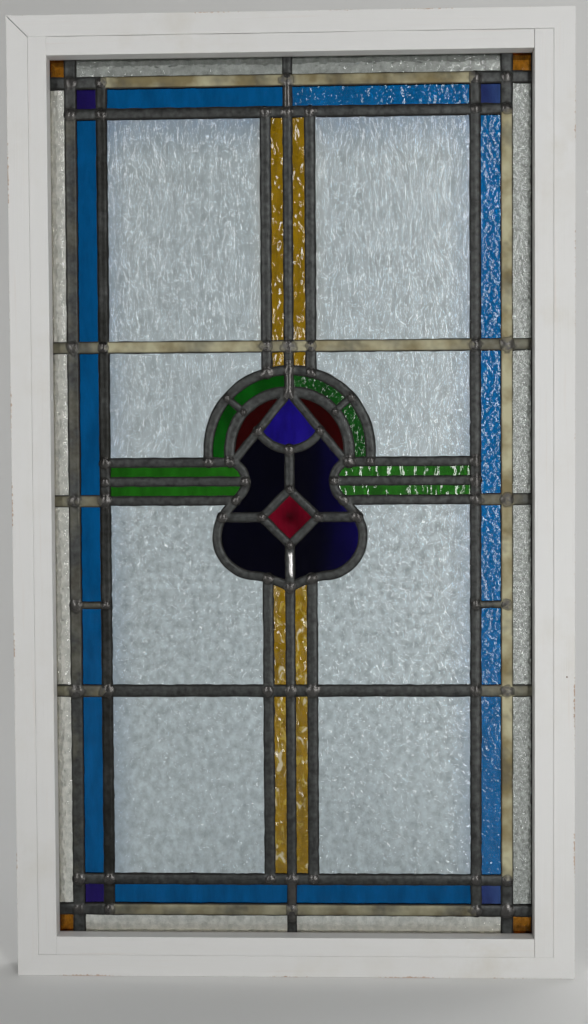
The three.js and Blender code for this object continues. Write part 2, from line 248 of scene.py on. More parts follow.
def ripples(across, up, seed):
    """Smooth noise from about -1 to 1 on a unit grid of seeded slopes."""
    turns = np.random.default_rng(seed).uniform(0, 2 * math.pi, (NOISE_CELLS, NOISE_CELLS))
    left = np.floor(across).astype(int)
    low = np.floor(up).astype(int)
    u = across - left
    v = up - low

    def pull(i, j):
        turn = turns[(left + i) % NOISE_CELLS, (low + j) % NOISE_CELLS]
        return np.cos(turn) * (u - i) + np.sin(turn) * (v - j)

    ease_u = u**3 * (u * (u * 6 - 15) + 10)
    ease_v = v**3 * (v * (v * 6 - 15) + 10)
    lower = pull(0, 0) + ease_u * (pull(1, 0) - pull(0, 0))
    upper = pull(0, 1) + ease_u * (pull(1, 1) - pull(0, 1))
    return 1.6 * (lower + ease_v * (upper - lower))


def smooth(low, high, value):
    """0 below low, 1 above high, and an even ease between them."""
    share = np.clip((value - low) / (high - low), 0, 1)
    return share * share * (3 - 2 * share)


# Lines of the leading


class Came(NamedTuple):
    """A length of came. Its tan is 1 under a full crust of oxide, and below 0 darkens it towards cement.
    """

    path: np.ndarray
    width: float
    tan: float = 0.0
    flat: bool = False
    heart: bool = True


def seam(near, far, axis):
    """Where the came between two neighbouring panes lies, from the panel's middle."""
    return (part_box(near)[1][axis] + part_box(far)[0][axis]) / 2 - PANEL[axis]


def mirrored(path):
    return -np.conj(path)


def whole(path):
    """A path that ends on the centre line, carried on over it by its mirror image."""
    return np.concatenate([path, mirrored(path)[::-1][1:]])


def arc(centre, radius, start, end):
    """Points of an arc from one angle to another."""
    count = max(2, math.ceil(abs(end - start) * abs(radius) / ARC_STEP))
    return centre + radius * np.exp(1j * np.linspace(start, end, count + 1))


def crossing(path, value, part):
    """First place where a path's real or imaginary part passes a value."""
    offsets = getattr(path, part) - value
    i = int(np.argmax(offsets[:-1] * offsets[1:] <= 0))
    share = offsets[i] / (offsets[i] - offsets[i + 1])
    return path[i] + share * (path[i + 1] - path[i])


class Lines:
    """Places of the leading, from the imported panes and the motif's driving sizes."""

    def __init__(self, lead, motif):
        self.lead = lead
        self.motif = motif
        self.heart_x = LEAD_HIGH[X] - PANEL[X] - lead.edge_came / 2
        self.heart_z = LEAD_HIGH[Z] - PANEL[Z] - lead.edge_came / 2
        self.border_x = seam("glass_border_blue_side_right", "glass_border_clear_side_right", X)
        self.border_z = seam("glass_border_blue_top_right", "glass_border_clear_top_right", Z)
        self.inner_x = seam("glass_clear_top_right", "glass_border_blue_side_right", X)
        self.inner_z = seam("glass_clear_top_right", "glass_border_blue_top_right", Z)
        self.column_x = seam("glass_column_top_right", "glass_clear_top_right", X)
        self.bar_top = seam("glass_clear_upper_right", "glass_clear_top_right", Z)
        self.bar_low = seam("glass_clear_bottom_right", "glass_clear_lower_right", Z)
        self.arm_top = seam("glass_arm_green_top_right", "glass_clear_upper_right", Z)
        self.arm_middle = seam("glass_arm_green_low_right", "glass_arm_green_top_right", Z)
        self.arm_low = seam("glass_clear_lower_right", "glass_arm_green_low_right", Z)
        self.outer_arch = self.arch(motif.arch_radius)
        self.inner_arch = self.arch(motif.arch_radius - motif.arch_band)
        self.apex = self.inner_arch[-1]
        self.cusp = complex(0, motif.cusp_height)
        self.outline = self.lay_outline()

    def on_arch(self, radius, angle):
        power = 2 / self.motif.arch_fullness
        across = np.abs(np.cos(angle)) ** power
        up = np.abs(np.sin(angle)) ** power
        return radius * across + 1j * (self.motif.arch_height + radius * up)

    def arch(self, radius):
        """The right half of an arch, from the arms up to the centre line."""
        count = math.ceil(math.pi / 2 * radius / ARC_STEP)
        crown = self.on_arch(radius, np.linspace(0, math.pi / 2, count + 1))
        return np.concatenate([[complex(radius, self.arm_top)], crown])

    def lay_outline(self):
        """The right half of the came round waist, lobe and ogee, down to the cusp."""
        m = self.motif
        waist = complex(m.waist_in + m.waist_radius, self.arm_middle)
        lobe = complex(m.lobe_half - m.lobe_radius, m.lobe_height)
        rise = self.arm_top - self.arm_middle
        self.foot = complex(waist.real - math.sqrt(m.waist_radius**2 - rise**2), self.arm_top)

        apart = lobe - waist
        turn = math.acos((m.waist_radius + m.lobe_radius) / abs(apart))
        across = apart / abs(apart) * np.exp(-1j * turn)
        waist_end = float(np.angle(across))
        lobe_start = float(np.angle(-across))

        ogee_out = np.exp(1j * m.lobe_end)
        ogee_start = lobe + m.lobe_radius * ogee_out
        span = ogee_start - self.cusp
        ogee_radius = -abs(span) ** 2 / (2 * (ogee_out * np.conj(span)).real)
        ogee = ogee_start + ogee_radius * ogee_out

        def angle(centre, place):
            return float(np.angle(place - centre))

        return np.concatenate(
            [
                arc(waist, m.waist_radius, angle(waist, self.foot), 2 * math.pi + waist_end),
                arc(lobe, m.lobe_radius, lobe_start, m.lobe_end),
                arc(ogee, ogee_radius, angle(ogee, ogee_start), angle(ogee, self.cusp))[1:],
            ]
        )

    def lay_fan(self):
        """The fan's rounded bottom, from the slanting came round to the centre line."""
        m = self.motif
        bottom = m.arch_height + m.arch_radius - m.arch_band - m.fan_drop
        centre = complex(0, bottom + m.fan_radius)
        slant = self.foot - self.apex
        start = self.apex - centre
        b = (start * np.conj(slant)).real
        c = abs(start) ** 2 - m.fan_radius**2
        share = (-b + math.sqrt(b * b - abs(slant) ** 2 * c)) / abs(slant) ** 2
        return arc(centre, m.fan_radius, float(np.angle(start + share * slant)), -math.pi / 2)


def lay_cames(lead, motif):
    """Every length of came of the panel."""
    lines = Lines(lead, motif)
    cames = []

    def came(width, points, mirror=False, tan=(0, 0), flat=False, heart=True):
        path = np.array(points, dtype=complex)
        cames.append(Came(path, width, tan[1], flat, heart))
        if mirror:
            cames.append(Came(mirrored(path), width, tan[0], flat, heart))

    def level(z, start, end):
        return [complex(start, z), complex(end, z)]

    def upright(x, start, end):
        return [complex(x, start), complex(x, end)]

    # Border
    reach_x = lines.heart_x + lead.edge_came / 2
    reach_z = lines.heart_z + lead.edge_came / 2
    for side in (1, -1):
        came(lead.edge_came, level(side * lines.heart_z, -reach_x, reach_x), flat=True)
        width = lead.edge_came if side > 0 else lead.edge_came_left
        came(width, upright(side * lines.heart_x, -reach_z, reach_z), flat=True)
        crust = 0.72 if side > 0 else 0.5
        height = side * lines.border_z
        came(lead.flat_came, level(height, -lines.inner_x, lines.inner_x), tan=(crust, crust), flat=True)
        came(lead.flat_came, level(height, lines.inner_x, lines.heart_x), True, (0.1, 0.1), True)
        ends = (side * lines.inner_z, side * lines.heart_z)
        came(lead.flat_came, upright(lines.border_x, *ends), True, (0.1, 0.1), True)
        height = side * lines.inner_z
        came(lead.round_came, level(height, -lines.border_x, lines.border_x), tan=(0.06, 0.06))
        end = lines.apex if side > 0 else lines.cusp
        came(lead.motif_came, [complex(0, side * lines.heart_z), end])
    came(lead.flat_came, upright(lines.border_x, -lines.inner_z, lines.inner_z), True, (0.17, 1.0), True)
    came(lead.round_came, upright(lines.inner_x, -lines.border_z, lines.border_z), True, (-0.4, 0.05))

    # Bars and columns
    came(lead.flat_came, level(lines.bar_top, -lines.inner_x, lines.inner_x), tan=(0.7, 0.7), flat=True)
    came(lead.flat_came, level(lines.bar_low, -lines.inner_x, lines.inner_x))
    for z in (lines.bar_top, lines.bar_low, lines.arm_low):
        came(lead.flat_came, level(z, lines.inner_x, lines.heart_x), True, (0.35, 0.25), heart=False)
    joint = level(motif.blue_joint, lines.inner_x, lines.border_x)
    came(lead.thin_came, joint, True, (0.2, 0.2), heart=False)
    on_arch = crossing(lines.outer_arch, lines.column_x, "real")
    on_ogee = crossing(lines.outline[::-1], lines.column_x, "real")
    came(lead.round_came, [complex(lines.column_x, lines.inner_z), on_arch], True)
    came(lead.round_came, [complex(lines.column_x, -lines.inner_z), on_ogee], True)

    # Motif
    came(lead.motif_came, whole(lines.outer_arch))
    came(lead.round_came, whole(lines.inner_arch))
    radius = motif.arch_radius
    joint = [lines.on_arch(r, motif.arch_joint) for r in (radius - motif.arch_band, radius)]
    came(lead.thin_came, joint, True)
    came(lead.jewel_came, whole(np.array([lines.foot, lines.apex])))
    fan = lines.lay_fan()
    came(lead.jewel_came, whole(fan))
    came(lead.outline_came, whole(lines.outline))
    came(lead.motif_came, [complex(lines.inner_x, lines.arm_top), lines.foot], True)
    for z in (lines.arm_middle, lines.arm_low):
        came(lead.motif_came, [complex(lines.inner_x, z), crossing(lines.outline, z, "imag")], True)
    jewel = complex(0, motif.jewel_height)
    top, side, bottom = (jewel + motif.jewel_half * way for way in (1j, 1, -1j))
    came(lead.motif_came, [fan[-1], top])
    came(lead.jewel_came, [top, side], True)
    came(lead.jewel_came, [side, bottom], True)
    came(lead.motif_came, [side, crossing(lines.outline, motif.jewel_height, "imag")], True)
    came(lead.motif_came, [bottom, lines.cusp])
    return lines, cames


# Meshes


def spread(path, step):
    """The points of a path, with more between them so that none lie further apart than the step."""
    pieces = []
    for a, b in zip(path[:-1], path[1:]):
        count = max(1, math.ceil(abs(b - a) / step))
        pieces.append(a + (b - a) * np.arange(count) / count)
    return np.concatenate([*pieces, path[-1:]])


def sideways(path):
    """The vector at each point that leads one unit to the left of the way the path runs."""
    ways = np.diff(path)
    ways = ways / np.abs(ways)
    before = np.concatenate([ways[:1], ways])
    after = np.concatenate([ways, ways[-1:]])
    heading = (before + after) / np.abs(before + after)
    return 1j * heading / (heading * np.conj(before)).real


def counter_clockwise(loop):
    area = (np.conj(loop) * np.roll(loop, -1)).imag.sum()
    return loop if area > 0 else loop[::-1]


def thinned(points, spacing):
    """Points with no two in the same cell of a grid."""
    cells = np.round(points.real / spacing) + 1j * np.round(points.imag / spacing)
    keep = np.unique(cells, return_index=True)[1]
    return points[np.sort(keep)]


def filled(loops, inner):
    """Points and triangles that fill the union of closed loops, through the points given inside them."""
    points = np.concatenate([*loops, inner])
    faces = []
    start = 0
    for loop in loops:
        faces.append(list(range(start, start + len(loop))))
        start += len(loop)
    coords = [Vector(pair) for pair in np.column_stack([points.real, points.imag]).tolist()]
    found = delaunay_2d_cdt(coords, [], faces, 0, MERGE, True)
    places = np.array([complex(v.x, v.y) for v in found[0]])
    triangles = np.array([face for face, owners in zip(found[2], found[5]) if owners])
    used, index = np.unique(triangles, return_inverse=True)
    return places[used], index.reshape(triangles.shape)


def rim_edges(triangles):
    """The directed edges that belong to one triangle only."""
    edges = np.concatenate([triangles[:, [0, 1]], triangles[:, [1, 2]], triangles[:, [2, 0]]])
    size = int(edges.max()) + 1
    codes = edges[:, 0] * size + edges[:, 1]
    twins = edges[:, 1] * size + edges[:, 0]
    return edges[~np.isin(codes, twins)]


def rim_loop(edges):
    """The single closed loop that directed edges make."""
    following = dict(edges.tolist())
    loop = [int(edges[0, 0])]
    while following[loop[-1]] != loop[0]:
        loop.append(following[loop[-1]])
    return loop


def standing(places, depth):
    """Vertices of the window for places on the panel at a depth behind its middle."""
    depths = np.broadcast_to(depth, places.shape)
    return np.column_stack([places.real + PANEL[X], depths, places.imag + PANEL[Z]])


def sheet_solid(places, triangles, front, back, plain_back=False):
    """Vertices and faces of a closed solid between a front and a back depth."""
    rim = rim_edges(triangles)
    count = len(places)
    if plain_back:
        loop = np.array(rim_loop(rim))
        mate = np.zeros(count, dtype=int)
        mate[loop] = count + np.arange(len(loop))
        vertices = np.concatenate([standing(places, front), standing(places[loop], back)])
        far_faces = [mate[loop][::-1].tolist()]
    else:
        mate = count + np.arange(count)
        vertices = np.concatenate([standing(places, front), standing(places, back)])
        far_faces = mate[triangles[:, ::-1]].tolist()
    walls = np.column_stack([rim[:, 1], rim[:, 0], mate[rim[:, 0]], mate[rim[:, 1]]]).tolist()
    return vertices, triangles.tolist() + walls + far_faces


def make_piece(name, vertices, faces, material, nodes=(), fields=None, crease=50):
    """A smooth shaded mesh that rides with the window, with its own fields of values on the points."""
    mesh = bpy.data.meshes.new(name)
    mesh.from_pydata(vertices.tolist(), [], faces)
    for field, values in (fields or {}).items():
        values = np.asarray(values, dtype=np.float32)
        kind = "FLOAT_VECTOR" if values.ndim == 2 else "FLOAT"
        layer = mesh.attributes.new(field, kind, "POINT")
        layer.data.foreach_set("vector" if values.ndim == 2 else "value", values.ravel())
    mesh.polygons.foreach_set("use_smooth", [True] * len(mesh.polygons))
    mesh.set_sharp_from_angle(angle=math.radians(crease))
    mesh.materials.append(material)
    piece = bpy.data.objects.new(name, mesh)
    bpy.context.collection.objects.link(piece)
    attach(piece, BODY)
    if nodes:
        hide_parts(*nodes)
    return piece


# Lead

# Swell of a leaf over its width: the power of its curve, and its share of the crown
FLAT_LEAF = (5, 0.75)
ROUND_LEAF = (2.2, 1.0)
# Where the leaf carries points, as shares of its half width
FRONT_ROWS = (-0.92, -0.74, -0.48, -0.17, 0.17, 0.48, 0.74, 0.92)
BACK_ROWS = (-0.86, -0.45, 0, 0.45, 0.86)
# Joints closer than this share of the wider came are one
JOINT_APART = 0.75
JOINT_RINGS = (0.8, 0.55, 0.3)
# Value of the field edge off the leaf, where the middle of a leaf is 0 and its edge is 1
BEYOND_LEAF = 1.2
STRAY_WAVE = 9 * MM
NO_POINTS = np.array([], dtype=complex)


def band(came, extra, step, wobble, seed):
    """The closed outline of a came's leaf, with edges that stray a little."""
    path = spread(came.path, step)
    side = sideways(path)
    length = np.concatenate([[0], np.cumsum(np.abs(np.diff(path)))]) / STRAY_WAVE
    half = came.width / 2 + extra
    left = half + wobble * ripples(length, np.full_like(length, 3.5), seed)
    right = half + wobble * ripples(length, np.full_like(length, 7.5), seed + 1)
    return counter_clockwise(np.concatenate([path + side * left, (path - side * right)[::-1]]))


def distance_to(path, places):
    """Distance of each place from a path."""
    nearest = np.full(len(places), np.inf)
    for a, b in zip(path[:-1], path[1:]):
        along = np.clip(((places - a) * np.conj(b - a)).real / abs(b - a) ** 2, 0, 1)
        nearest = np.minimum(nearest, np.abs(places - a - along * (b - a)))
    return nearest


def near(places, path, reach):
    """Which places lie in a path's box, widened by a reach."""
    inside_x = (places.real > path.real.min() - reach) & (places.real < path.real.max() + reach)
    return inside_x & (places.imag > path.imag.min() - reach) & (places.imag < path.imag.max() + reach)


def find_joints(cames):
    """Where cames end or cross, each with the widest came that meets there."""
    spots = []
    for came in cames:
        spots += [(came.path[0], came.width), (came.path[-1], came.width)]
    straight = [came for came in cames if len(came.path) == 2]
    for i, one in enumerate(straight):
        for other in straight[i + 1 :]:
            a, b = one.path
            c, d = other.path
            turn = (np.conj(b - a) * (d - c)).imag
            if abs(turn) < MERGE:
                continue
            s = (np.conj(c - a) * (d - c)).imag / turn
            t = (np.conj(c - a) * (b - a)).imag / turn
            if 0 <= s <= 1 and 0 <= t <= 1:
                spots.append((a + s * (b - a), max(one.width, other.width)))
    joints = []
    for place, width in sorted(spots, key=lambda spot: -spot[1]):
        if all(abs(place - other) > JOINT_APART * max(width, wide) for other, wide in joints):
            joints.append((place, width))
    return joints


def solder_runs(lines, lead):
    """Solder-coated stretches of came: two ends, half width, rise, and painted highlight share."""
    half = lead.motif_came / 2
    motif = lines.motif
    arch_top = complex(0, motif.arch_height + motif.arch_radius)
    jewel_bottom = complex(0, motif.jewel_height - motif.jewel_half)
    return [
        (complex(0, lines.border_z), complex(0, lines.inner_z + 6 * MM), half * 1.15, 0.7, 0),
        (complex(0, -lines.inner_z), complex(0, -lines.border_z - 8 * MM), half * 1.2, 0.7, 0),
        (arch_top + 5j * MM, arch_top - 24j * MM, half * 1.25, 0.9, 0),
        # Painted highlight: the run under the jewel is coloured as a near-white streak.
        (jewel_bottom + (1 - 9j) * MM, jewel_bottom + (1 - 26j) * MM, half * 0.45, 0.5, 1),
    ]


def uneven(i, least, span):
    """A share that differs from one joint to the next."""
    return least + span * ((i * 7) % 5) / 4


def leaf_relief(places, cames, lead):
    """Swell of the leaves, the tan of the nearest came, and how far out on its leaf each place lies."""
    crown = np.zeros(len(places))
    crust = np.zeros(len(places))
    nearest = np.full(len(places), np.inf)
    for came in cames:
        mask = near(places, came.path, came.width)
        reach = distance_to(came.path, places[mask]) / (came.width / 2)
        share = np.clip(reach, 0, 1)
        power, full = FLAT_LEAF if came.flat else ROUND_LEAF
        swell = lead.leaf_crown * full * (1 - share**power) ** 0.8
        held = crown[mask]
        crown[mask] = np.maximum(held, swell) + 0.25 * np.minimum(held, swell)
        closer = reach < nearest[mask]
        crust[mask] = np.where(closer, came.tan, crust[mask])
        nearest[mask] = np.where(closer, reach, nearest[mask])
    return crown, crust, nearest


def solder_relief(places, joints, runs, lead, stray):
    """Rise, cover and painted highlight of the solder at the joints and along its runs."""
    rise = np.zeros(len(places))
    solder = np.zeros(len(places))
    bright = np.zeros(len(places))
    for i, (place, width) in enumerate(joints):
        spread_out = (width / 2 + lead.solder_spread) * uneven(i, 0.85, 0.3)
        share = np.abs(places - place) / spread_out * stray
        rise = np.maximum(rise, lead.solder_rise * np.clip(1 - share**2, 0, 1) ** 0.9)
        solder = np.maximum(solder, 1 - smooth(0.72, 1.08, share))
    for a, b, half, height, shine in runs:
        share = distance_to(np.array([a, b]), places) / half * stray
        bright = np.maximum(bright, shine * (1 - smooth(0.5, 1.1, share)))
        rise = np.maximum(rise, height * lead.solder_rise * np.clip(1 - share**2, 0, 1) ** 0.8)
        solder = np.maximum(solder, 1 - smooth(0.75, 1.1, share))
    return rise, solder, bright


def in_rebate(places):
    """Which places of the net lie in the rebate, behind the stops."""
    beside = np.abs(places.real + PANEL[X]) > HALF_WIDTH - SIGHT_EDGE - 1 * MM
    beyond = np.abs(places.imag) > HEIGHT / 2 - SIGHT_EDGE - 1 * MM
    return beside | beyond


def lead_relief(places, cames, joints, runs, lead, seed):
    """Rise of the leads over the glass side of their leaves, with its crust and solder."""
    x = places.real / MM
    z = places.imag / MM
    dents = 0.10 * ripples(x / 7, z / 7, seed) + 0.05 * ripples(x / 2.6, z / 2.6, seed + 1)
    stray = 1 + 0.2 * ripples(x / 6, z / 6, seed + 2)
    crown, crust, nearest = leaf_relief(places, cames, lead)
    rise, solder, bright = solder_relief(places, joints, runs, lead, stray)
    lumps = 0.1 * solder * ripples(x / 3.4, z / 3.4, seed + 3)
    rough = MM * (dents * np.clip(crown / lead.leaf_crown, 0, 1) + lumps)
    height = lead.leaf_edge + crown + rise + rough
    room = REBATE_FACE - GLASS_FACE - lead.leaf_bed - 0.1 * MM
    height = np.where(in_rebate(places), np.minimum(height, room), height)
    cloud = ripples(x / 34, z / 34, seed + 4) + 0.3 * ripples(x / 5, z / 5, seed + 5)
    fields = {
        "crust": crust * (0.45 + 0.55 * smooth(-0.75, 0.35, cloud)),
        "solder": solder,
        "edge": np.clip(nearest, 0, BEYOND_LEAF),
        "bright": bright,
    }
    return height, fields


def lead_face(name, material, lead, motif, step, rows, front, seed, nodes):
    """One face of the whole lead net, with the solder of its joints, as a closed solid."""
    lines, cames = lay_cames(lead, motif)
    joints = find_joints(cames)
    runs = solder_runs(lines, lead) if front else []
    loops = [band(came, 0, step, lead.wobble, seed + 3 * i) for i, came in enumerate(cames)]
    inner = []
    for came in cames:
        path = spread(came.path, step)
        side = sideways(path)
        inner += [path + side * came.width / 2 * row for row in rows]
    turns = np.exp(1j * np.linspace(0, 2 * math.pi, JOINT_POINTS + 1)[:-1])
    for i, (place, width) in enumerate(joints):
        stray = 1 + 0.13 * ripples(3 * turns.real + i, 3 * turns.imag, seed + 7)
        radius = (width / 2 + 0.8 * lead.solder_spread) * uneven(i, 0.9, 0.2)
        loops.append(place + radius * turns * stray)
        inner += [place + radius * share * turns for share in JOINT_RINGS]
    places, triangles = filled(loops, thinned(np.concatenate(inner), LEAD_SPACING))
    height, fields = lead_relief(places, cames, joints, runs, lead, seed + 11)
    bed = GLASS_FACE + lead.leaf_bed
    plain = {key: np.full(len(places), BEYOND_LEAF if key == "edge" else 0.0) for key in fields}
    if front:
        vertices, faces = sheet_solid(places, triangles, -bed - height, -bed)
        near_side, far_side = fields, plain
    else:
        vertices, faces = sheet_solid(places, triangles, bed, bed + height)
        near_side, far_side = plain, fields
    layered = {key: np.concatenate([near_side[key], far_side[key]]) for key in fields}
    make_piece(name, vertices, faces, material, nodes, layered)


def heart_solid(name, cames, lead, material, seed, nodes):
    """The hearts of the cames, a thin closed solid between the two faces of the net."""
    loops = []
    for i, came in enumerate(cames):
        narrower = (lead.heart - came.width) / 2
        loops.append(band(came, narrower, 6 * MM, 0, seed + 3 * i))
    places, triangles = filled(loops, NO_POINTS)
    bed = GLASS_FACE + lead.leaf_bed
    vertices, faces = sheet_solid(places, triangles, -bed, bed)
    blank = np.zeros(len(vertices))
    fields = {"crust": blank, "solder": blank, "edge": blank + 1}
    make_piece(name, vertices, faces, material, nodes, fields)


# Glass

# Relief of the rolled faces: wave across and up in millimetres, depth in millimetres
ROLLED = {
    "streaky": [(2.2, 7.5, 0.42), (4.8, 13, 0.34), (10, 24, 0.25)],
    "dappled": [(2.6, 4.8, 0.42), (5, 9, 0.34), (11, 19, 0.25)],
    "seedy": [(2.2, 2.6, 0.3), (4.5, 5.5, 0.24)],
    "reeded": [(7, 2.6, 0.34), (2.4, 2.4, 0.22)],
    "swirled": [(4.4, 9, 0.7), (9, 15, 0.45), (2.4, 3.6, 0.2)],
    "rippled": [(2.8, 2.4, 0.36), (5.5, 6.5, 0.26)],
    "fluted": [(4.2, 40, 0.5), (3.0, 5, 0.14)],
    "bubbled": [(9, 13, 0.12), (3, 3.6, 0.04)],
    "calm": [(9, 13, 0.14), (3.5, 4.5, 0.04)],
}
# Fine skin over the relief: cells to the metre along each axis, depth in millimetres and index of
# refraction. Calm faces have a low index, so that they mirror the room less and keep their deep colour.
SKINS = {
    "streaky": ((460, 460, 150), 0.5, 1.5),
    "dappled": ((430, 430, 210), 0.5, 1.5),
    "hammered": ((400, 400, 350), 0.3, 1.5),
    "seedy": ((480, 480, 420), 0.5, 1.42),
    "reeded": ((240, 240, 460), 0.4, 1.45),
    "swirled": ((300, 300, 180), 0.2, 1.45),
    "rippled": ((420, 420, 460), 0.35, 1.44),
    "fluted": ((380, 380, 120), 0.3, 1.5),
    "bubbled": ((300, 300, 300), 0.06, 1.2),
    "calm": ((300, 300, 200), 0.05, 1.17),
}
STROKE_TURNS = (0.35, 1.25, 2.3)
PANE_GAP = 2.6 * MM
# The jewel's rings, as their depth, width and reach, and the reach of its dark eye, all in millimetres
JEWEL_RINGS = (0.2, 1.7, 9)
EYE_REACH = 7.5
# Points of a pane's face: the height of a row and the clearance from the edge, as shares of the step
ROW_SHARE = 0.87
CLEAR_SHARE = 0.45


def rolled_depth(kind, places, seed):
    """How far a pane's face lies under its highest level, in metres."""
    x = places.real / MM
    z = places.imag / MM
    bent = 1.6 * ripples(x / 11, z / 11, seed + 40)
    if kind == "hammered":
        total = np.zeros(len(places))
        weight = np.zeros(len(places))
        for i, turn in enumerate(STROKE_TURNS):
            turned = (x + 1j * z) * np.exp(1j * turn)
            share = smooth(-0.2, 0.5, ripples(x / 9, z / 9, seed + 50 + i)) + 0.05
            wave = ripples((turned.real + bent) / 2.0, turned.imag / 5.4, seed + 60 + i)
            total += share * wave
            weight += share
        depth = 1.1 * total / weight + 0.3 * ripples(x / 7, z / 7, seed + 70)
    else:
        depth = np.zeros(len(places))
        for i, (across, up, deep) in enumerate(ROLLED[kind]):
            depth += deep * ripples((x + bent) / across, z / up, seed + i)
    return MM * np.clip(0.6 + depth, 0, 1.5)


def outline_of(node):
    """The outline of a packed pane's front face, as a closed loop on the panel."""
    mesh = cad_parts[node].data
    points = np.array([v.co[:] for v in mesh.vertices])
    front = np.abs(points[:, Y] + GLASS_FACE) < 0.1 * MM
    keys = np.round(points[:, [X, Z]] / (0.01 * MM)).astype(int)
    merged, index = np.unique(keys, axis=0, return_inverse=True)
    index = index.ravel()
    mesh.calc_loop_triangles()
    corners = np.array([t.vertices[:] for t in mesh.loop_triangles])
    corners = corners[front[corners].all(axis=1)]
    rim = rim_edges(index[corners])
    loop = merged[rim_loop(rim)] * (0.01 * MM)
    return counter_clockwise(loop[:, 0] + 1j * loop[:, 1] - PANEL_MIDDLE)


def clipped(loop, low, high):
    """The part of a closed loop between two heights."""
    for sign, limit in ((1, low), (-1, -high)):
        kept = []
        for a, b in zip(loop, np.roll(loop, -1)):
            inside_a = sign * a.imag >= limit
            inside_b = sign * b.imag >= limit
            if inside_a:
                kept.append(a)
            if inside_a != inside_b:
                share = (limit / sign - a.imag) / (b.imag - a.imag)
                kept.append(a + share * (b - a))
        loop = np.array(kept)
    return loop


def make_pane(name, loop, kind, finishes, seed, nodes, bullseye=None):
    """A pane of glass with a rolled front and a flat back, which knows how far in from its edges it is."""
    sizes = bpy.context.scene.window_glass
    step = sizes.step
    closed = np.append(loop, loop[0])
    border = spread(closed, step)[:-1]
    low = complex(border.real.min(), border.imag.min())
    high = complex(border.real.max(), border.imag.max())
    columns = np.arange(low.real + step / 2, high.real, step)
    rows = np.arange(low.imag + step / 2, high.imag, step * ROW_SHARE)
    grid = columns[None, :] + 1j * rows[:, None]
    grid[1::2] += step / 2
    grid = grid.ravel()
    grid = grid[distance_to(closed, grid) > step * CLEAR_SHARE]
    places, triangles = filled([border], grid)
    depth = sizes.relief * rolled_depth(kind, places, seed)
    if bullseye is not None:
        away = np.abs(places - bullseye) / MM
        deep, width, reach = JEWEL_RINGS
        depth = depth + MM * deep * np.cos(away / width) * np.exp(-((away / reach) ** 2))
    vertices, faces = sheet_solid(places, triangles, -GLASS_FACE + depth, GLASS_FACE, plain_back=True)
    across = np.abs(vertices[:, X] - PANEL[X])
    away = np.abs(vertices[:, Z] - PANEL[Z])
    fields = {"inset": np.column_stack([across.max() - across, across - across.min(), away.max() - away])}
    if bullseye is not None:
        middle = vertices[:, [X, Z]] - [PANEL[X] + bullseye.real, PANEL[Z] + bullseye.imag]
        fields["eye"] = np.exp(-((np.linalg.norm(middle, axis=1) / (EYE_REACH * MM)) ** 2))
    make_piece(name, vertices, faces, finishes[kind], nodes, fields)


# Finishes


class Finish:
    """A material under way. Its calls add nodes, and an input takes a value or another node's output."""

    def __init__(self, name):
        self.material = bpy.data.materials.new(name)
        self.material.use_nodes = True
        self.tree = self.material.node_tree
        self.shader = self.tree.nodes["Principled BSDF"]

    def feed(self, node, inputs):
        for key, value in inputs.items():
            if isinstance(value, bpy.types.NodeSocket):
                self.tree.links.new(value, node.inputs[key])
            else:
                node.inputs[key].default_value = value

    def add(self, kind, inputs=None, **settings):
        node = self.tree.nodes.new("ShaderNode" + kind)
        for key, value in settings.items():
            setattr(node, key, value)
        self.feed(node, inputs or {})
        return node

    def place(self, scale=(1, 1, 1), source=None):
        """Places on the piece, stretched by a scale."""
        source = source or self.add("TexCoord").outputs["Object"]
        return self.add("Mapping", {"Vector": source, "Scale": scale}).outputs["Vector"]

    def noise(self, scale, detail=3, vector=None, roughness=0.5):
        inputs = {"Scale": scale, "Detail": detail, "Roughness": roughness}
        inputs["Vector"] = vector or self.place()
        return self.add("TexNoise", inputs).outputs["Fac"]

    def field(self, name):
        return self.add("Attribute", attribute_name=name).outputs["Fac"]

    def ramp(self, value, low, high, to_low=0.0, to_high=1.0):
        inputs = {"Value": value, "From Min": low, "From Max": high, "To Min": to_low, "To Max": to_high}
        return self.add("MapRange", inputs, clamp=True).outputs["Result"]

    def math(self, operation, a, b):
        return self.add("Math", {0: a, 1: b}, operation=operation).outputs["Value"]

    def mix(self, factor, a, b):
        """One colour over another."""
        first = a if isinstance(a, bpy.types.NodeSocket) else (*a, 1)
        second = b if isinstance(b, bpy.types.NodeSocket) else (*b, 1)
        return self.add("Mix", {0: factor, 6: first, 7: second}, data_type="RGBA").outputs[2]

    def bump(self, height, distance):
        inputs = {"Height": height, "Distance": distance, "Strength": 1.0}
        return self.add("Bump", inputs).outputs["Normal"]

    def shade(self, **inputs):
        names = {key.replace("_", " ").capitalize(): value for key, value in inputs.items()}
        renamed = {
            "Base color": "Base Color",
            "Transmission weight": "Transmission Weight",
            "Ior": "IOR",
        }
        self.feed(self.shader, {renamed.get(key, key): value for key, value in names.items()})
        return self.material


def scaled(colour, share):
    return tuple(share * level for level in colour)


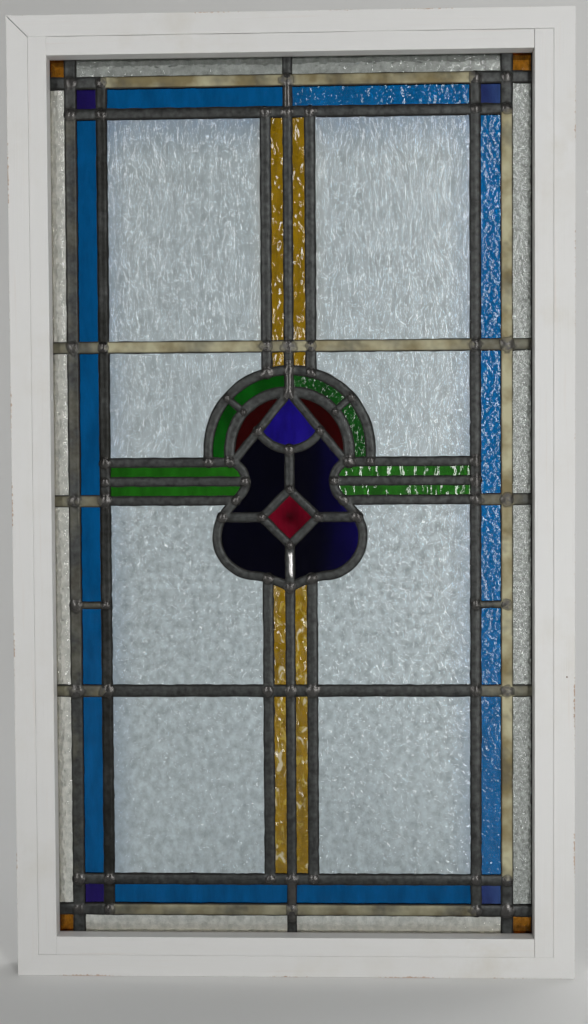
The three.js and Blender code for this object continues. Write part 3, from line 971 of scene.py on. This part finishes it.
def glass_finish(
    name, colour, kind, variation=0.18, roughness=0.06, streak=(60, 60, 18), halo=(), wisp=None, eye=False
):
    """Glass coloured through, uneven in its tint, with any painted edge light and the fine skin of its
    kind.
    """
    finish = Finish(name)
    tone = finish.ramp(finish.noise(1.0, 5, finish.place(streak), 0.72), 0.36, 0.64)
    lighter = [min(1, level * (1 + variation)) for level in colour]
    tint = finish.mix(tone, scaled(colour, 1 - variation), lighter)
    inset = finish.add("Attribute", attribute_name="inset").outputs["Vector"]
    edges = finish.add("SeparateXYZ", {"Vector": inset})
    # Painted light: tints towards a pane's edges stand for light cast through neighbouring glass, a lit
    # reveal seen through it, and sheen.
    for axis, hue, reach, share in halo:
        near_edge = finish.math("POWER", finish.ramp(edges.outputs[axis], 0, reach * MM, 1, 0), 1.6)
        patchy = finish.ramp(tone, 0, 1, 0.5 * share, share)
        tint = finish.mix(finish.math("MULTIPLY", near_edge, patchy), tint, hue)
    if wisp is not None:
        winding = {"Vector": finish.place((110, 110, 58)), "Scale": 1.0, "Distortion": 1.5}
        curl = finish.add("TexNoise", winding).outputs["Fac"]
        tint = finish.mix(finish.ramp(curl, 0.57, 0.625, 0, 0.85), tint, wisp)
    if eye:
        tint = finish.mix(finish.math("MULTIPLY", finish.field("eye"), 0.95), tint, scaled(colour, 0.015))
    stretch, deep, index = SKINS[kind]
    skin = finish.noise(1.0, 1, finish.place(stretch))
    return finish.shade(
        base_color=tint,
        roughness=roughness,
        transmission_weight=1.0,
        ior=index,
        normal=finish.bump(skin, deep * MM),
    )


def glass_set(slot, colour, kinds, **options):
    """A finish for each kind of rolled face that one colour of glass comes in."""
    return {kind: glass_finish(f"{slot}_{kind}", colour, kind, **options) for kind in kinds}


def lead_finish(colours):
    """Dull lead with a crust, edges partly in painted shade, brighter solder and one painted highlight."""
    finish = Finish("lead")
    crust = finish.field("crust")
    solder = finish.field("solder")
    edge = finish.field("edge")
    cloud = finish.noise(220, 4)
    grain = finish.noise(1500, 3)
    stain = finish.noise(34, 4)
    metal = finish.mix(finish.ramp(cloud, 0.3, 0.7), colours.lead_dark, colours.lead)
    crusty = finish.mix(finish.ramp(stain, 0.36, 0.6), colours.oxide_dark, colours.oxide)
    colour = finish.mix(finish.ramp(crust, 0.1, 0.8), metal, crusty)
    colour = finish.mix(finish.ramp(crust, -0.4, 0, 0.6, 0), colour, colours.cement)
    worn = finish.math("MULTIPLY", solder, finish.ramp(cloud, 0.3, 0.6, 0.5, 0.95))
    colour = finish.mix(worn, colour, colours.solder)
    # Painted highlight along the solder run under the jewel.
    colour = finish.mix(finish.field("bright"), colour, colours.painted_solder_highlight)
    # Partly cement and dirt, partly painted shade: dark rings round the joints and dark leaf edges.
    ring = finish.math("MULTIPLY", finish.ramp(solder, 0.02, 0.3), finish.ramp(solder, 0.4, 0.85, 0.6, 0))
    grime_and_shade = finish.math("MAXIMUM", finish.ramp(edge, 0.78, 1.0, 0, 0.8), ring)
    colour = finish.mix(grime_and_shade, colour, colours.cement)
    dull = finish.ramp(crust, 0.1, 0.8, 0.43, 0.7)
    rough = finish.ramp(finish.math("SUBTRACT", dull, finish.math("MULTIPLY", solder, 0.18)), 0, 1)
    metallic = finish.math("SUBTRACT", 0.7, finish.math("MULTIPLY", crust, 0.6))
    height = finish.math("ADD", finish.math("MULTIPLY", cloud, 0.6), finish.math("MULTIPLY", grain, 0.3))
    return finish.shade(
        base_color=colour,
        roughness=rough,
        metallic=metallic,
        normal=finish.bump(height, 0.2 * MM),
    )


def cement_finish(colours):
    """Dark, gritty glazing cement."""
    finish = Finish("cement")
    grit = finish.noise(1200, 4)
    colour = finish.mix(grit, scaled(colours.cement, 0.6), scaled(colours.cement, 1.6))
    return finish.shade(base_color=colour, roughness=0.85, normal=finish.bump(grit, 0.15 * MM))


def paint_finish(colours):
    """Brushed white paint on softwood, stained, specked, worn through at the edges, with painted corner
    shade.
    """
    finish = Finish("painted_wood")
    grain = finish.add("Attribute", attribute_name="grain").outputs["Vector"]
    strokes = finish.noise(1.0, 3, finish.place((14, 900, 900), grain))
    wood = finish.noise(1.0, 4, finish.place((9, 260, 260), grain))
    cloud = finish.noise(9, 4)
    smudge = finish.noise(38, 5, roughness=0.6)
    stained = finish.math("MULTIPLY", finish.ramp(cloud, 0.5, 0.75), finish.ramp(smudge, 0.4, 0.7))
    colour = finish.mix(finish.ramp(stained, 0, 1, 0.12, 0.8), colours.paint, colours.paint_stain)
    colour = finish.mix(finish.ramp(wood, 0.62, 0.8, 0, 0.18), colour, colours.bare_wood)
    wear = finish.field("wear")
    chipped = finish.ramp(finish.math("ADD", wear, finish.noise(420, 3)), 1.02, 1.16)
    timber = finish.mix(wood, scaled(colours.bare_wood, 0.6), colours.bare_wood)
    colour = finish.mix(chipped, colour, timber)
    specks = finish.add("TexVoronoi", {"Scale": 36.0, "Vector": finish.place()})
    dots = finish.math("LESS_THAN", specks.outputs["Distance"], 0.035)
    picked = finish.math("GREATER_THAN", finish.noise(23, 1), 0.62)
    colour = finish.mix(finish.math("MULTIPLY", dots, picked), colour, scaled(colours.bare_wood, 0.35))
    # Painted shade: darker paint in the corner where each stop meets the glass.
    dirt = finish.field("dirt")
    colour = finish.mix(finish.math("MULTIPLY", dirt, 0.7), colour, scaled(colours.bare_wood, 0.25))
    height = finish.math("ADD", strokes, finish.math("MULTIPLY", wood, 1.2))
    height = finish.math("SUBTRACT", height, finish.math("MULTIPLY", chipped, 1.5))
    return finish.shade(base_color=colour, roughness=0.42, normal=finish.bump(height, 0.12 * MM))


def floor_finish(stage):
    """Plain pale floor with a faint mottle."""
    finish = Finish("pale_floor")
    tone = finish.noise(2.5, 3)
    colour = finish.mix(tone, scaled(stage.floor_colour, 0.97), scaled(stage.floor_colour, 1.02))
    return finish.shade(base_color=colour, roughness=0.9)


# Wood


def rounded_section(corners, radius, step):
    """A closed section with rounded corners, as points no further apart than the step."""
    points = []
    count = len(corners)
    for i, corner in enumerate(corners):
        before = corners[i - 1] - corner
        after = corners[(i + 1) % count] - corner
        start = corner + before / abs(before) * radius
        end = corner + after / abs(after) * radius
        points += [start, (start + end) / 4 + corner / 2, end]
    closed = np.array([*points, points[0]])
    return spread(closed, step)[:-1]


# How far wear and the painted corner shade reach
WEAR_REACH = 2.2 * MM
EDGE_DEPTH = 4 * MM
CORNER_SHADE_REACH = 1.1 * MM
# For each side of the frame: where its length starts, the way it runs and the way in
SIDES = {
    "bottom": (lambda w, h: -w + 0j, 1, 1j),
    "right": (lambda w, h: w + 0j, 1j, -1),
    "top": (lambda w, h: w + h * 1j, -1, -1j),
    "left": (lambda w, h: -w + h * 1j, -1j, 1),
}


def timber_fields(run, inner, depth, seed):
    """Grain, wear along the outer edges, and painted shade in the corner that meets the glass."""
    grain = np.column_stack([run.ravel(), inner.ravel(), depth.ravel()])
    edge = np.exp(-((inner / WEAR_REACH) ** 2))
    front = edge * (np.abs(depth - FRAME_FRONT) < EDGE_DEPTH)
    back = edge * (np.abs(depth - FRAME_BACK) < EDGE_DEPTH)
    patch = smooth(-0.1, 0.9, ripples(run / (60 * MM), run * 0 + 0.5, seed + 5))
    wear = (front + back) * (0.42 + 0.3 * patch)
    # Painted shade in the corner where a stop meets the glass.
    corner = np.exp(-(((depth + REBATE_FACE) / CORNER_SHADE_REACH) ** 2))
    dirt = corner * (inner > SIGHT_EDGE - 1.5 * MM)
    return {"grain": grain, "wear": wear.ravel(), "dirt": dirt.ravel()}


def timber(name, side, section, ends, material, node, seed, gap=None):
    """A straight piece of wood of one section, from its start to its end along one side of the frame."""
    corner, along, inward = SIDES[side]
    length = HEIGHT if side in ("left", "right") else 2 * HALF_WIDTH
    rings = math.ceil(length / TIMBER_STEP)
    across = section.real
    ways = np.roll(section, -1) - np.roll(section, 1)
    outward = -1j * ways / np.abs(ways)
    start = ends[0](across)
    end = length - ends[1](across)
    share = np.linspace(0, 1, rings + 1)[:, None]
    run = start + (end - start) * share
    girth = np.arange(len(section))[None, :] * 0.35
    swell = 0.07 * ripples(run / (70 * MM), girth / 4 + 0 * run, seed)
    swell = MM * (swell + 0.025 * ripples(run / (9 * MM), girth + 0 * run, seed + 1))
    inner = across + 0 * run + outward.real * swell
    depth = section.imag + 0 * run + outward.imag * swell
    if gap is not None:
        inner = inner + gap(side, run) * (across < BOARD_FACE + 1 * MM)
    base = corner(HALF_WIDTH, HEIGHT) + along * run + inward * inner
    vertices = np.column_stack([base.real.ravel(), depth.ravel(), base.imag.ravel()])
    size = len(section)
    ring = np.arange(rings)[:, None] * size
    step = np.arange(size)[None, :]
    following = (step + 1) % size
    quads = np.stack([ring + step, ring + following, ring + size + following, ring + size + step], -1)
    faces = quads.reshape(-1, 4).tolist()
    caps = [list(range(size))[::-1], [rings * size + i for i in range(size)]]
    fields = timber_fields(run, inner, depth, seed)
    make_piece(name, vertices, faces + caps, material, [node], fields, crease=12)


# The seam between a stop and its board: how wide it opens, in millimetres, and how readily
SEAM_WIDTHS = {"top": 0.3, "left": 0.03, "right": 0.08, "bottom": 0.04}
SEAM_LEANS = {"top": 0.25, "left": -0.35, "right": -0.1, "bottom": -0.4}


def seam_gap(side, run):
    """How far the paint between a stop and its board has opened along the seam."""
    place = run / (55 * MM)
    wave = ripples(place, place * 0 + 2.5, ord(side[0]))
    opened = smooth(-0.2, 0.5, wave + SEAM_LEANS[side])
    return MM * (0.02 + SEAM_WIDTHS[side] * opened)


# Operators


class WindowOperator:
    """What every operator here shares."""

    bl_options = {"REGISTER", "UNDO"}

    def groups(self, context):
        scene = context.scene
        return scene.window_lead, scene.window_motif, scene.window_colours, scene.window_stage


# How far boards and stops stand back at their start and end, in millimetres
BOARD_GAPS = {"top": (0.02, 0.42), "left": (0.42, 0.02), "right": (0.02, 0.02), "bottom": (0.02, 0.02)}
STOP_GAPS = {"top": (0.4, 0.05), "left": (0.05, 0.3), "right": (0.05, 0.3), "bottom": (0.05, 0.25)}


class LEADED_WINDOW_OT_frame_boards(WindowOperator, bpy.types.Operator):
    """Mitred, rebated boards of the frame under brushed white paint"""

    bl_idname = "leaded_window.frame_boards"
    bl_label = "Frame Boards"

    def execute(self, context):
        colours, stage = self.groups(context)[2:]
        material = paint_finish(colours)
        corners = [
            complex(0, FRAME_FRONT),
            complex(BOARD_FACE, FRAME_FRONT),
            complex(BOARD_FACE, REBATE_FACE),
            complex(SIGHT_EDGE, REBATE_FACE),
            complex(SIGHT_EDGE, FRAME_BACK),
            complex(0, FRAME_BACK),
        ]
        section = rounded_section(corners, 0.7 * MM, 3.2 * MM)
        for i, side in enumerate(SIDES):
            ends = [lambda across, gap=gap: across + gap * MM for gap in BOARD_GAPS[side]]
            name = f"painted_board_{side}"
            timber(name, side, section, ends, material, f"frame_board_{side}", stage.seed + 20 * i)
        return {"FINISHED"}


class LEADED_WINDOW_OT_glazing_stops(WindowOperator, bpy.types.Operator):
    """Painted stops that hold the leaded panel in its rebate"""

    bl_idname = "leaded_window.glazing_stops"
    bl_label = "Glazing Stops"

    def execute(self, context):
        colours, stage = self.groups(context)[2:]
        material = bpy.data.materials.get("painted_wood") or paint_finish(colours)
        corners = [
            complex(BOARD_FACE, FRAME_FRONT),
            complex(SIGHT_EDGE, FRAME_FRONT),
            complex(SIGHT_EDGE, -REBATE_FACE),
            complex(BOARD_FACE, -REBATE_FACE),
        ]
        section = rounded_section(corners, 0.5 * MM, 3 * MM)
        for i, side in enumerate(SIDES):
            upright = side in ("left", "right")
            reach = BOARD_FACE if upright else SIGHT_EDGE
            ends = [lambda across, gap=gap: across * 0 + reach + gap * MM for gap in STOP_GAPS[side]]
            name = f"painted_stop_{side}"
            node = f"glazing_stop_{side}"
            timber(name, side, section, ends, material, node, stage.seed + 7 + 20 * i, seam_gap)
        return {"FINISHED"}


class LEADED_WINDOW_OT_leads(WindowOperator, bpy.types.Operator):
    """Both faces of the lead net with soldered joints, its hearts and the old cement beside it"""

    bl_idname = "leaded_window.leads"
    bl_label = "Leads"

    def execute(self, context):
        lead, motif, colours, stage = self.groups(context)
        material = lead_finish(colours)
        dark = cement_finish(colours)
        nodes = ["lead_cames"]
        sizes = (lead, motif)
        lead_face("lead_front", material, *sizes, FRONT_LEAD_STEP, FRONT_ROWS, True, stage.seed, nodes)
        back_seed = stage.seed + 500
        lead_face("lead_back", material, *sizes, BACK_LEAD_STEP, BACK_ROWS, False, back_seed, nodes)
        cames = lay_cames(lead, motif)[1]
        hearts = [came for came in cames if came.heart]
        heart_solid("lead_hearts", hearts, lead, material, stage.seed, nodes)
        bed = GLASS_FACE + lead.leaf_bed
        for name, low, high in (
            ("cement_front", -bed + 0.02 * MM, -GLASS_FACE),
            ("cement_back", GLASS_FACE, bed - 0.02 * MM),
        ):
            self.cement(name, cames, lead, low, high, dark, stage.seed + 900)
        return {"FINISHED"}

    def cement(self, name, cames, lead, low, high, material, seed):
        loops = []
        for i, came in enumerate(cames):
            loops.append(band(came, lead.cement_line, 3.5 * MM, 0.35 * MM, seed + 3 * i))
        places, triangles = filled(loops, NO_POINTS)
        vertices, faces = sheet_solid(places, triangles, low, high)
        make_piece(name, vertices, faces, material, ["lead_cames"])


def simple_panes(names, kinds, finishes, seed):
    """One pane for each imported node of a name, left and right, each with its own relief."""
    for i, name in enumerate(names):
        for j, side in enumerate(("left", "right")):
            node = f"glass_{name}_{side}"
            start = seed + 10 * i + 5 * j
            make_pane(f"pane_{name}_{side}", outline_of(node), kinds[j], finishes, start, [node])


def strip_panes(name, cuts, kinds, finishes, seed):
    """The panes of a long strip, which meet under short cames at the heights given."""
    for j, side in enumerate(("left", "right")):
        node = f"glass_{name}_{side}"
        loop = outline_of(node)
        levels = [-np.inf, *sorted(cuts), np.inf]
        for i, (low, high) in enumerate(zip(levels[:-1], levels[1:])):
            part = clipped(loop, low + PANE_GAP / 2, high - PANE_GAP / 2)
            start = seed + 31 * j + 7 * i
            make_pane(f"pane_{name}_{side}_{i + 1}", part, kinds[j], finishes, start, [node])


class LEADED_WINDOW_OT_clear_panes(WindowOperator, bpy.types.Operator):
    """Eight large clear panes and the twelve clear strips round the panel"""

    bl_idname = "leaded_window.clear_panes"
    bl_label = "Clear Panes"

    def execute(self, context):
        lead, motif, colours, stage = self.groups(context)
        lines = Lines(lead, motif)
        slot = "clear_glass"
        seed = stage.seed + 100
        # Painted coloured light: blue and amber light cast through the neighbouring strips, tinted into
        # the clear panes' edges.
        blue_cast_light = ("X", colours.blue, 30, 0.45)
        amber_cast_light = ("Y", colours.amber, 16, 0.28)
        blue_top = ("Z", colours.blue, 46, 0.6)
        streaks = {"variation": 0.13, "roughness": 0.04, "streak": (120, 120, 55)}
        strokes = {"variation": 0.23, "roughness": 0.04, "streak": (140, 140, 115)}
        sparkles = {"variation": 0.45, "roughness": 0.05, "streak": (430, 430, 360)}
        cast_lights = (blue_top, blue_cast_light, amber_cast_light)
        top = glass_set(slot, colours.clear, ["streaky"], halo=cast_lights, **streaks)
        simple_panes(["clear_top"], ("streaky", "streaky"), top, seed)
        plain = glass_set(slot, colours.clear, ["dappled"], halo=(blue_cast_light,), **streaks)
        plain.update(glass_set(slot, colours.clear, ["hammered"], halo=(blue_cast_light,), **strokes))
        simple_panes(["clear_upper"], ("dappled", "dappled"), plain, seed + 20)
        simple_panes(["clear_lower", "clear_bottom"], ("hammered", "hammered"), plain, seed + 40)
        reeded = ("reeded", "reeded")
        # Painted shade: the greyer glass darkens the top strips under the top of the frame.
        shaded_top = glass_set(slot, colours.clear_border, ["reeded"], **strokes)
        simple_panes(["border_clear_top"], reeded, shaded_top, seed + 70)
        # Painted light: the lit reveal behind the bottom strips, tinted into their outer half.
        lit_reveal_end = ("Z", colours.clear_lit_reveal, 20, 1.0)
        pale = glass_set(slot, colours.clear_side, ["reeded"], halo=(lit_reveal_end,), **strokes)
        simple_panes(["border_clear_bottom"], reeded, pale, seed + 80)
        # Painted light: the lit reveal behind the left strips, tinted into their outer half.
        lit_reveal_side = ("X", colours.clear_lit_reveal, 24, 1.0)
        sides = glass_set(slot, colours.clear_side, ["dappled"], halo=(lit_reveal_side,), **strokes)
        sides.update(glass_set(slot, colours.clear_border, ["seedy"], **sparkles))
        cuts = [lines.bar_top, lines.arm_low, lines.bar_low]
        strip_panes("border_clear_side", cuts, ("dappled", "seedy"), sides, seed + 90)
        return {"FINISHED"}


class LEADED_WINDOW_OT_blue_strips(WindowOperator, bpy.types.Operator):
    """Fourteen azure strips of the inner border"""

    bl_idname = "leaded_window.blue_strips"
    bl_label = "Blue Strips"

    def execute(self, context):
        lead, motif, colours, stage = self.groups(context)
        lines = Lines(lead, motif)
        slot = "blue_glass"
        blue = glass_set(slot, colours.blue, ["calm"])
        # Painted light: the right strips take the lighter azure.
        blue.update(glass_set(slot, colours.blue_lit_right, ["rippled"], roughness=0.05))
        seed = stage.seed + 300
        simple_panes(["border_blue_top"], ("calm", "rippled"), blue, seed)
        simple_panes(["border_blue_bottom"], ("calm", "calm"), blue, seed + 20)
        cuts = [lines.bar_top, lines.arm_low, motif.blue_joint, lines.bar_low]
        strip_panes("border_blue_side", cuts, ("calm", "rippled"), blue, seed + 40)
        return {"FINISHED"}


class LEADED_WINDOW_OT_corner_squares(WindowOperator, bpy.types.Operator):
    """Four orange and four purple squares where the borders turn"""

    bl_idname = "leaded_window.corner_squares"
    bl_label = "Corner Squares"

    def execute(self, context):
        colours, stage = self.groups(context)[2:]
        slot = "orange_glass"
        cloudy = {"variation": 0.5, "streak": (120, 120, 90)}
        orange = glass_set(slot, colours.orange, ["bubbled"], **cloudy)
        corners = ["corner_amber_top", "corner_amber_bottom"]
        simple_panes(corners, ("bubbled", "bubbled"), orange, stage.seed + 400)
        slot = "purple_glass"
        purple = glass_set(slot, colours.purple, ["calm"], variation=0.25)
        # Painted sheen: blue-grey haze towards the outer edge of the right purple squares.
        hazy_sheen = (("X", colours.blue_lit_right, 60, 0.5), ("X", colours.clear, 60, 0.07))
        purple.update(glass_set(slot, colours.purple, ["bubbled"], variation=0.25, halo=hazy_sheen))
        corners = ["corner_purple_top", "corner_purple_bottom"]
        simple_panes(corners, ("calm", "bubbled"), purple, stage.seed + 430)
        return {"FINISHED"}


class LEADED_WINDOW_OT_amber_columns(WindowOperator, bpy.types.Operator):
    """Eight golden strips beside the centre came"""

    bl_idname = "leaded_window.amber_columns"
    bl_label = "Amber Columns"

    def execute(self, context):
        lead, motif, colours, stage = self.groups(context)
        lines = Lines(lead, motif)
        slot = "amber_glass"
        kinds = ("swirled", "swirled")
        options = {"variation": 0.3, "streak": (90, 90, 30)}
        plain = glass_set(slot, colours.amber, ["swirled"], **options)
        strip_panes("column_top", [lines.bar_top], kinds, plain, stage.seed + 500)
        wispy = glass_set(slot, colours.amber, ["swirled"], wisp=colours.wisp, **options)
        simple_panes(["column_lower", "column_bottom"], kinds, wispy, stage.seed + 560)
        return {"FINISHED"}


class LEADED_WINDOW_OT_green_panes(WindowOperator, bpy.types.Operator):
    """Four green cross bars and the four panes of the arch band"""

    bl_idname = "leaded_window.green_panes"
    bl_label = "Green Panes"

    def execute(self, context):
        colours, stage = self.groups(context)[2:]
        slot = "green_glass"
        seed = stage.seed + 600
        green = glass_set(slot, colours.green, ["calm", "fluted"], variation=0.3)
        simple_panes(["arm_green_top", "arm_green_low"], ("calm", "fluted"), green, seed)
        green = glass_set(slot, colours.green_arch, ["bubbled", "seedy"], variation=0.4)
        band_panes = ["arch_green_haunch", "arch_green_crown"]
        simple_panes(band_panes, ("bubbled", "seedy"), green, seed + 40)
        return {"FINISHED"}


class LEADED_WINDOW_OT_motif_panes(WindowOperator, bpy.types.Operator):
    """Red, violet, navy and ruby panes of the motif"""

    bl_idname = "leaded_window.motif_panes"
    bl_label = "Motif Panes"

    def execute(self, context):
        motif, colours, stage = self.groups(context)[1:]
        seed = stage.seed + 700
        calm = ("calm", "calm")
        red = glass_set("red_glass", colours.red, ["calm"])
        simple_panes(["arch_red"], calm, red, seed)
        slot = "navy_glass"
        navy = glass_set(slot, colours.navy, ["calm"])
        # Painted sheen: violet haze towards the outer edge of the right navy lobes.
        violet_sheen = ("X", colours.violet, 44, 0.45)
        navy.update(glass_set(slot, colours.navy, ["bubbled"], halo=(violet_sheen,)))
        lobes = ["motif_navy_upper", "motif_navy_lower"]
        simple_panes(lobes, ("calm", "bubbled"), navy, seed + 20)
        violet = glass_set("violet_glass", colours.violet, ["calm"], variation=0.3)
        node = "glass_fan_violet"
        make_pane("pane_fan_violet", outline_of(node), "calm", violet, seed + 40, [node])
        ruby = glass_set("ruby_glass", colours.ruby, ["calm"], variation=0.4, eye=True)
        node = "glass_jewel_ruby"
        middle = complex(0, motif.jewel_height)
        loop = outline_of(node)
        make_pane("pane_jewel_ruby", loop, "calm", ruby, seed + 50, [node], middle)
        return {"FINISHED"}


# Each softbox's place, target and size
MIDDLE = (0, 0, HEIGHT / 2)
SOFTBOXES = {
    "key": ((0.74, -2.0, 0.88), MIDDLE, (0.24, 1.72)),
    "fill": ((-1.05, -2.0, 0.88), MIDDLE, (0.2, 1.72)),
    "side": ((3.1, -0.8, 1.0), MIDDLE, (1.2, 1.6)),
    "low": ((0.48, -0.8, 0.13), (0.16, 0, 0.13), (0.16, 0.22)),
    "top": ((0.2, -0.5, 3.0), MIDDLE, (1.6, 0.6)),
    "wall": ((0.95, 0.9, 3.3), (1.2, 3.3, 0.2), (2.4, 1.2)),
}
ROOM_SIDES = 96
COVE_RINGS = 17
SENSOR = 36


def softbox(name, place, target, size, watts):
    """A rectangular light that looks at a target."""
    lamp = bpy.data.lights.new(name, "AREA")
    lamp.shape = "RECTANGLE"
    lamp.size, lamp.size_y = size
    lamp.energy = watts
    light = bpy.data.objects.new(name, lamp)
    light.location = place
    light.rotation_euler = (Vector(target) - Vector(place)).to_track_quat("-Z", "Y").to_euler()
    bpy.context.collection.objects.link(light)


class LEADED_WINDOW_OT_stage(WindowOperator, bpy.types.Operator):
    """Pale round studio, soft lights and the camera"""

    bl_idname = "leaded_window.stage"
    bl_label = "Stage"

    def execute(self, context):
        stage = self.groups(context)[3]
        self.room(stage)
        for name, (place, target, size) in SOFTBOXES.items():
            softbox(f"{name}_softbox", place, target, size, getattr(stage, f"{name}_watts"))
        world = bpy.data.worlds.new("studio_light")
        world.use_nodes = True
        background = world.node_tree.nodes["Background"]
        background.inputs["Color"].default_value = (1, 1, 1, 1)
        background.inputs["Strength"].default_value = stage.sky
        context.scene.world = world
        context.scene.view_settings.view_transform = "Standard"
        self.camera(context, stage)
        return {"FINISHED"}

    def room(self, stage):
        """A round floor that sweeps up into a low wall."""
        turn = np.linspace(-math.pi / 2, 0, COVE_RINGS)
        radius = stage.floor_radius + stage.cove_radius * np.cos(turn)
        height = stage.cove_radius * (1 + np.sin(turn))
        radius = np.concatenate([radius, radius[-1:]])
        height = np.concatenate([height, [stage.wall_height]])
        around = np.exp(1j * np.linspace(0, 2 * math.pi, ROOM_SIDES + 1)[:-1])
        ground = (radius[:, None] * around[None, :]).ravel()
        vertices = np.column_stack([ground.real, ground.imag, np.repeat(height, ROOM_SIDES)])
        faces = [list(range(ROOM_SIDES))]
        for ring in range(len(radius) - 1):
            for i in range(ROOM_SIDES):
                a = ring * ROOM_SIDES + i
                b = ring * ROOM_SIDES + (i + 1) % ROOM_SIDES
                faces.append([b, a, a + ROOM_SIDES, b + ROOM_SIDES])
        mesh = bpy.data.meshes.new("studio_floor")
        mesh.from_pydata(vertices.tolist(), [], faces)
        mesh.polygons.foreach_set("use_smooth", [True] * len(mesh.polygons))
        mesh.materials.append(floor_finish(stage))
        floor = bpy.data.objects.new("studio_floor", mesh)
        bpy.context.collection.objects.link(floor)

    def camera(self, context, stage):
        data = bpy.data.cameras.new("camera")
        data.sensor_fit = "VERTICAL"
        data.sensor_height = SENSOR
        data.sensor_width = SENSOR
        data.lens = stage.lens
        camera = bpy.data.objects.new("camera", data)
        camera.location = stage.camera_place
        camera.rotation_euler = Euler(stage.camera_turn)
        context.collection.objects.link(camera)
        context.scene.camera = camera


OPERATORS = (
    LEADED_WINDOW_OT_frame_boards,
    LEADED_WINDOW_OT_glazing_stops,
    LEADED_WINDOW_OT_leads,
    LEADED_WINDOW_OT_clear_panes,
    LEADED_WINDOW_OT_blue_strips,
    LEADED_WINDOW_OT_corner_squares,
    LEADED_WINDOW_OT_amber_columns,
    LEADED_WINDOW_OT_green_panes,
    LEADED_WINDOW_OT_motif_panes,
    LEADED_WINDOW_OT_stage,
)
GROUPS = {
    "window_lead": LeadSizes,
    "window_motif": MotifSizes,
    "window_glass": GlassSizes,
    "window_colours": WindowColours,
    "window_stage": StageSizes,
}


class LEADED_WINDOW_PT_panel(bpy.types.Panel):
    """Lists the pieces of the window and their sizes"""

    bl_idname = "LEADED_WINDOW_PT_panel"
    bl_label = "Leaded Window"
    bl_space_type = "VIEW_3D"
    bl_region_type = "UI"
    bl_category = "Leaded Window"

    def draw(self, context):
        column = self.layout.column(align=True)
        for operator in OPERATORS:
            column.operator(operator.bl_idname)
        for name in GROUPS:
            group = getattr(context.scene, name)
            box = self.layout.box()
            for key in group.__annotations__:
                box.prop(group, key)


def register():
    for cls in (*GROUPS.values(), *OPERATORS, LEADED_WINDOW_PT_panel):
        bpy.utils.register_class(cls)
    for name, group in GROUPS.items():
        setattr(bpy.types.Scene, name, PointerProperty(type=group))


def unregister():
    for name in GROUPS:
        delattr(bpy.types.Scene, name)
    for cls in (LEADED_WINDOW_PT_panel, *OPERATORS[::-1], *GROUPS.values()):
        bpy.utils.unregister_class(cls)


def main():
    register()
    bpy.ops.leaded_window.frame_boards()
    bpy.ops.leaded_window.glazing_stops()
    bpy.ops.leaded_window.leads()
    bpy.ops.leaded_window.clear_panes()
    bpy.ops.leaded_window.blue_strips()
    bpy.ops.leaded_window.corner_squares()
    bpy.ops.leaded_window.amber_columns()
    bpy.ops.leaded_window.green_panes()
    bpy.ops.leaded_window.motif_panes()
    bpy.ops.leaded_window.stage()


if __name__ == "__main__":
    main()
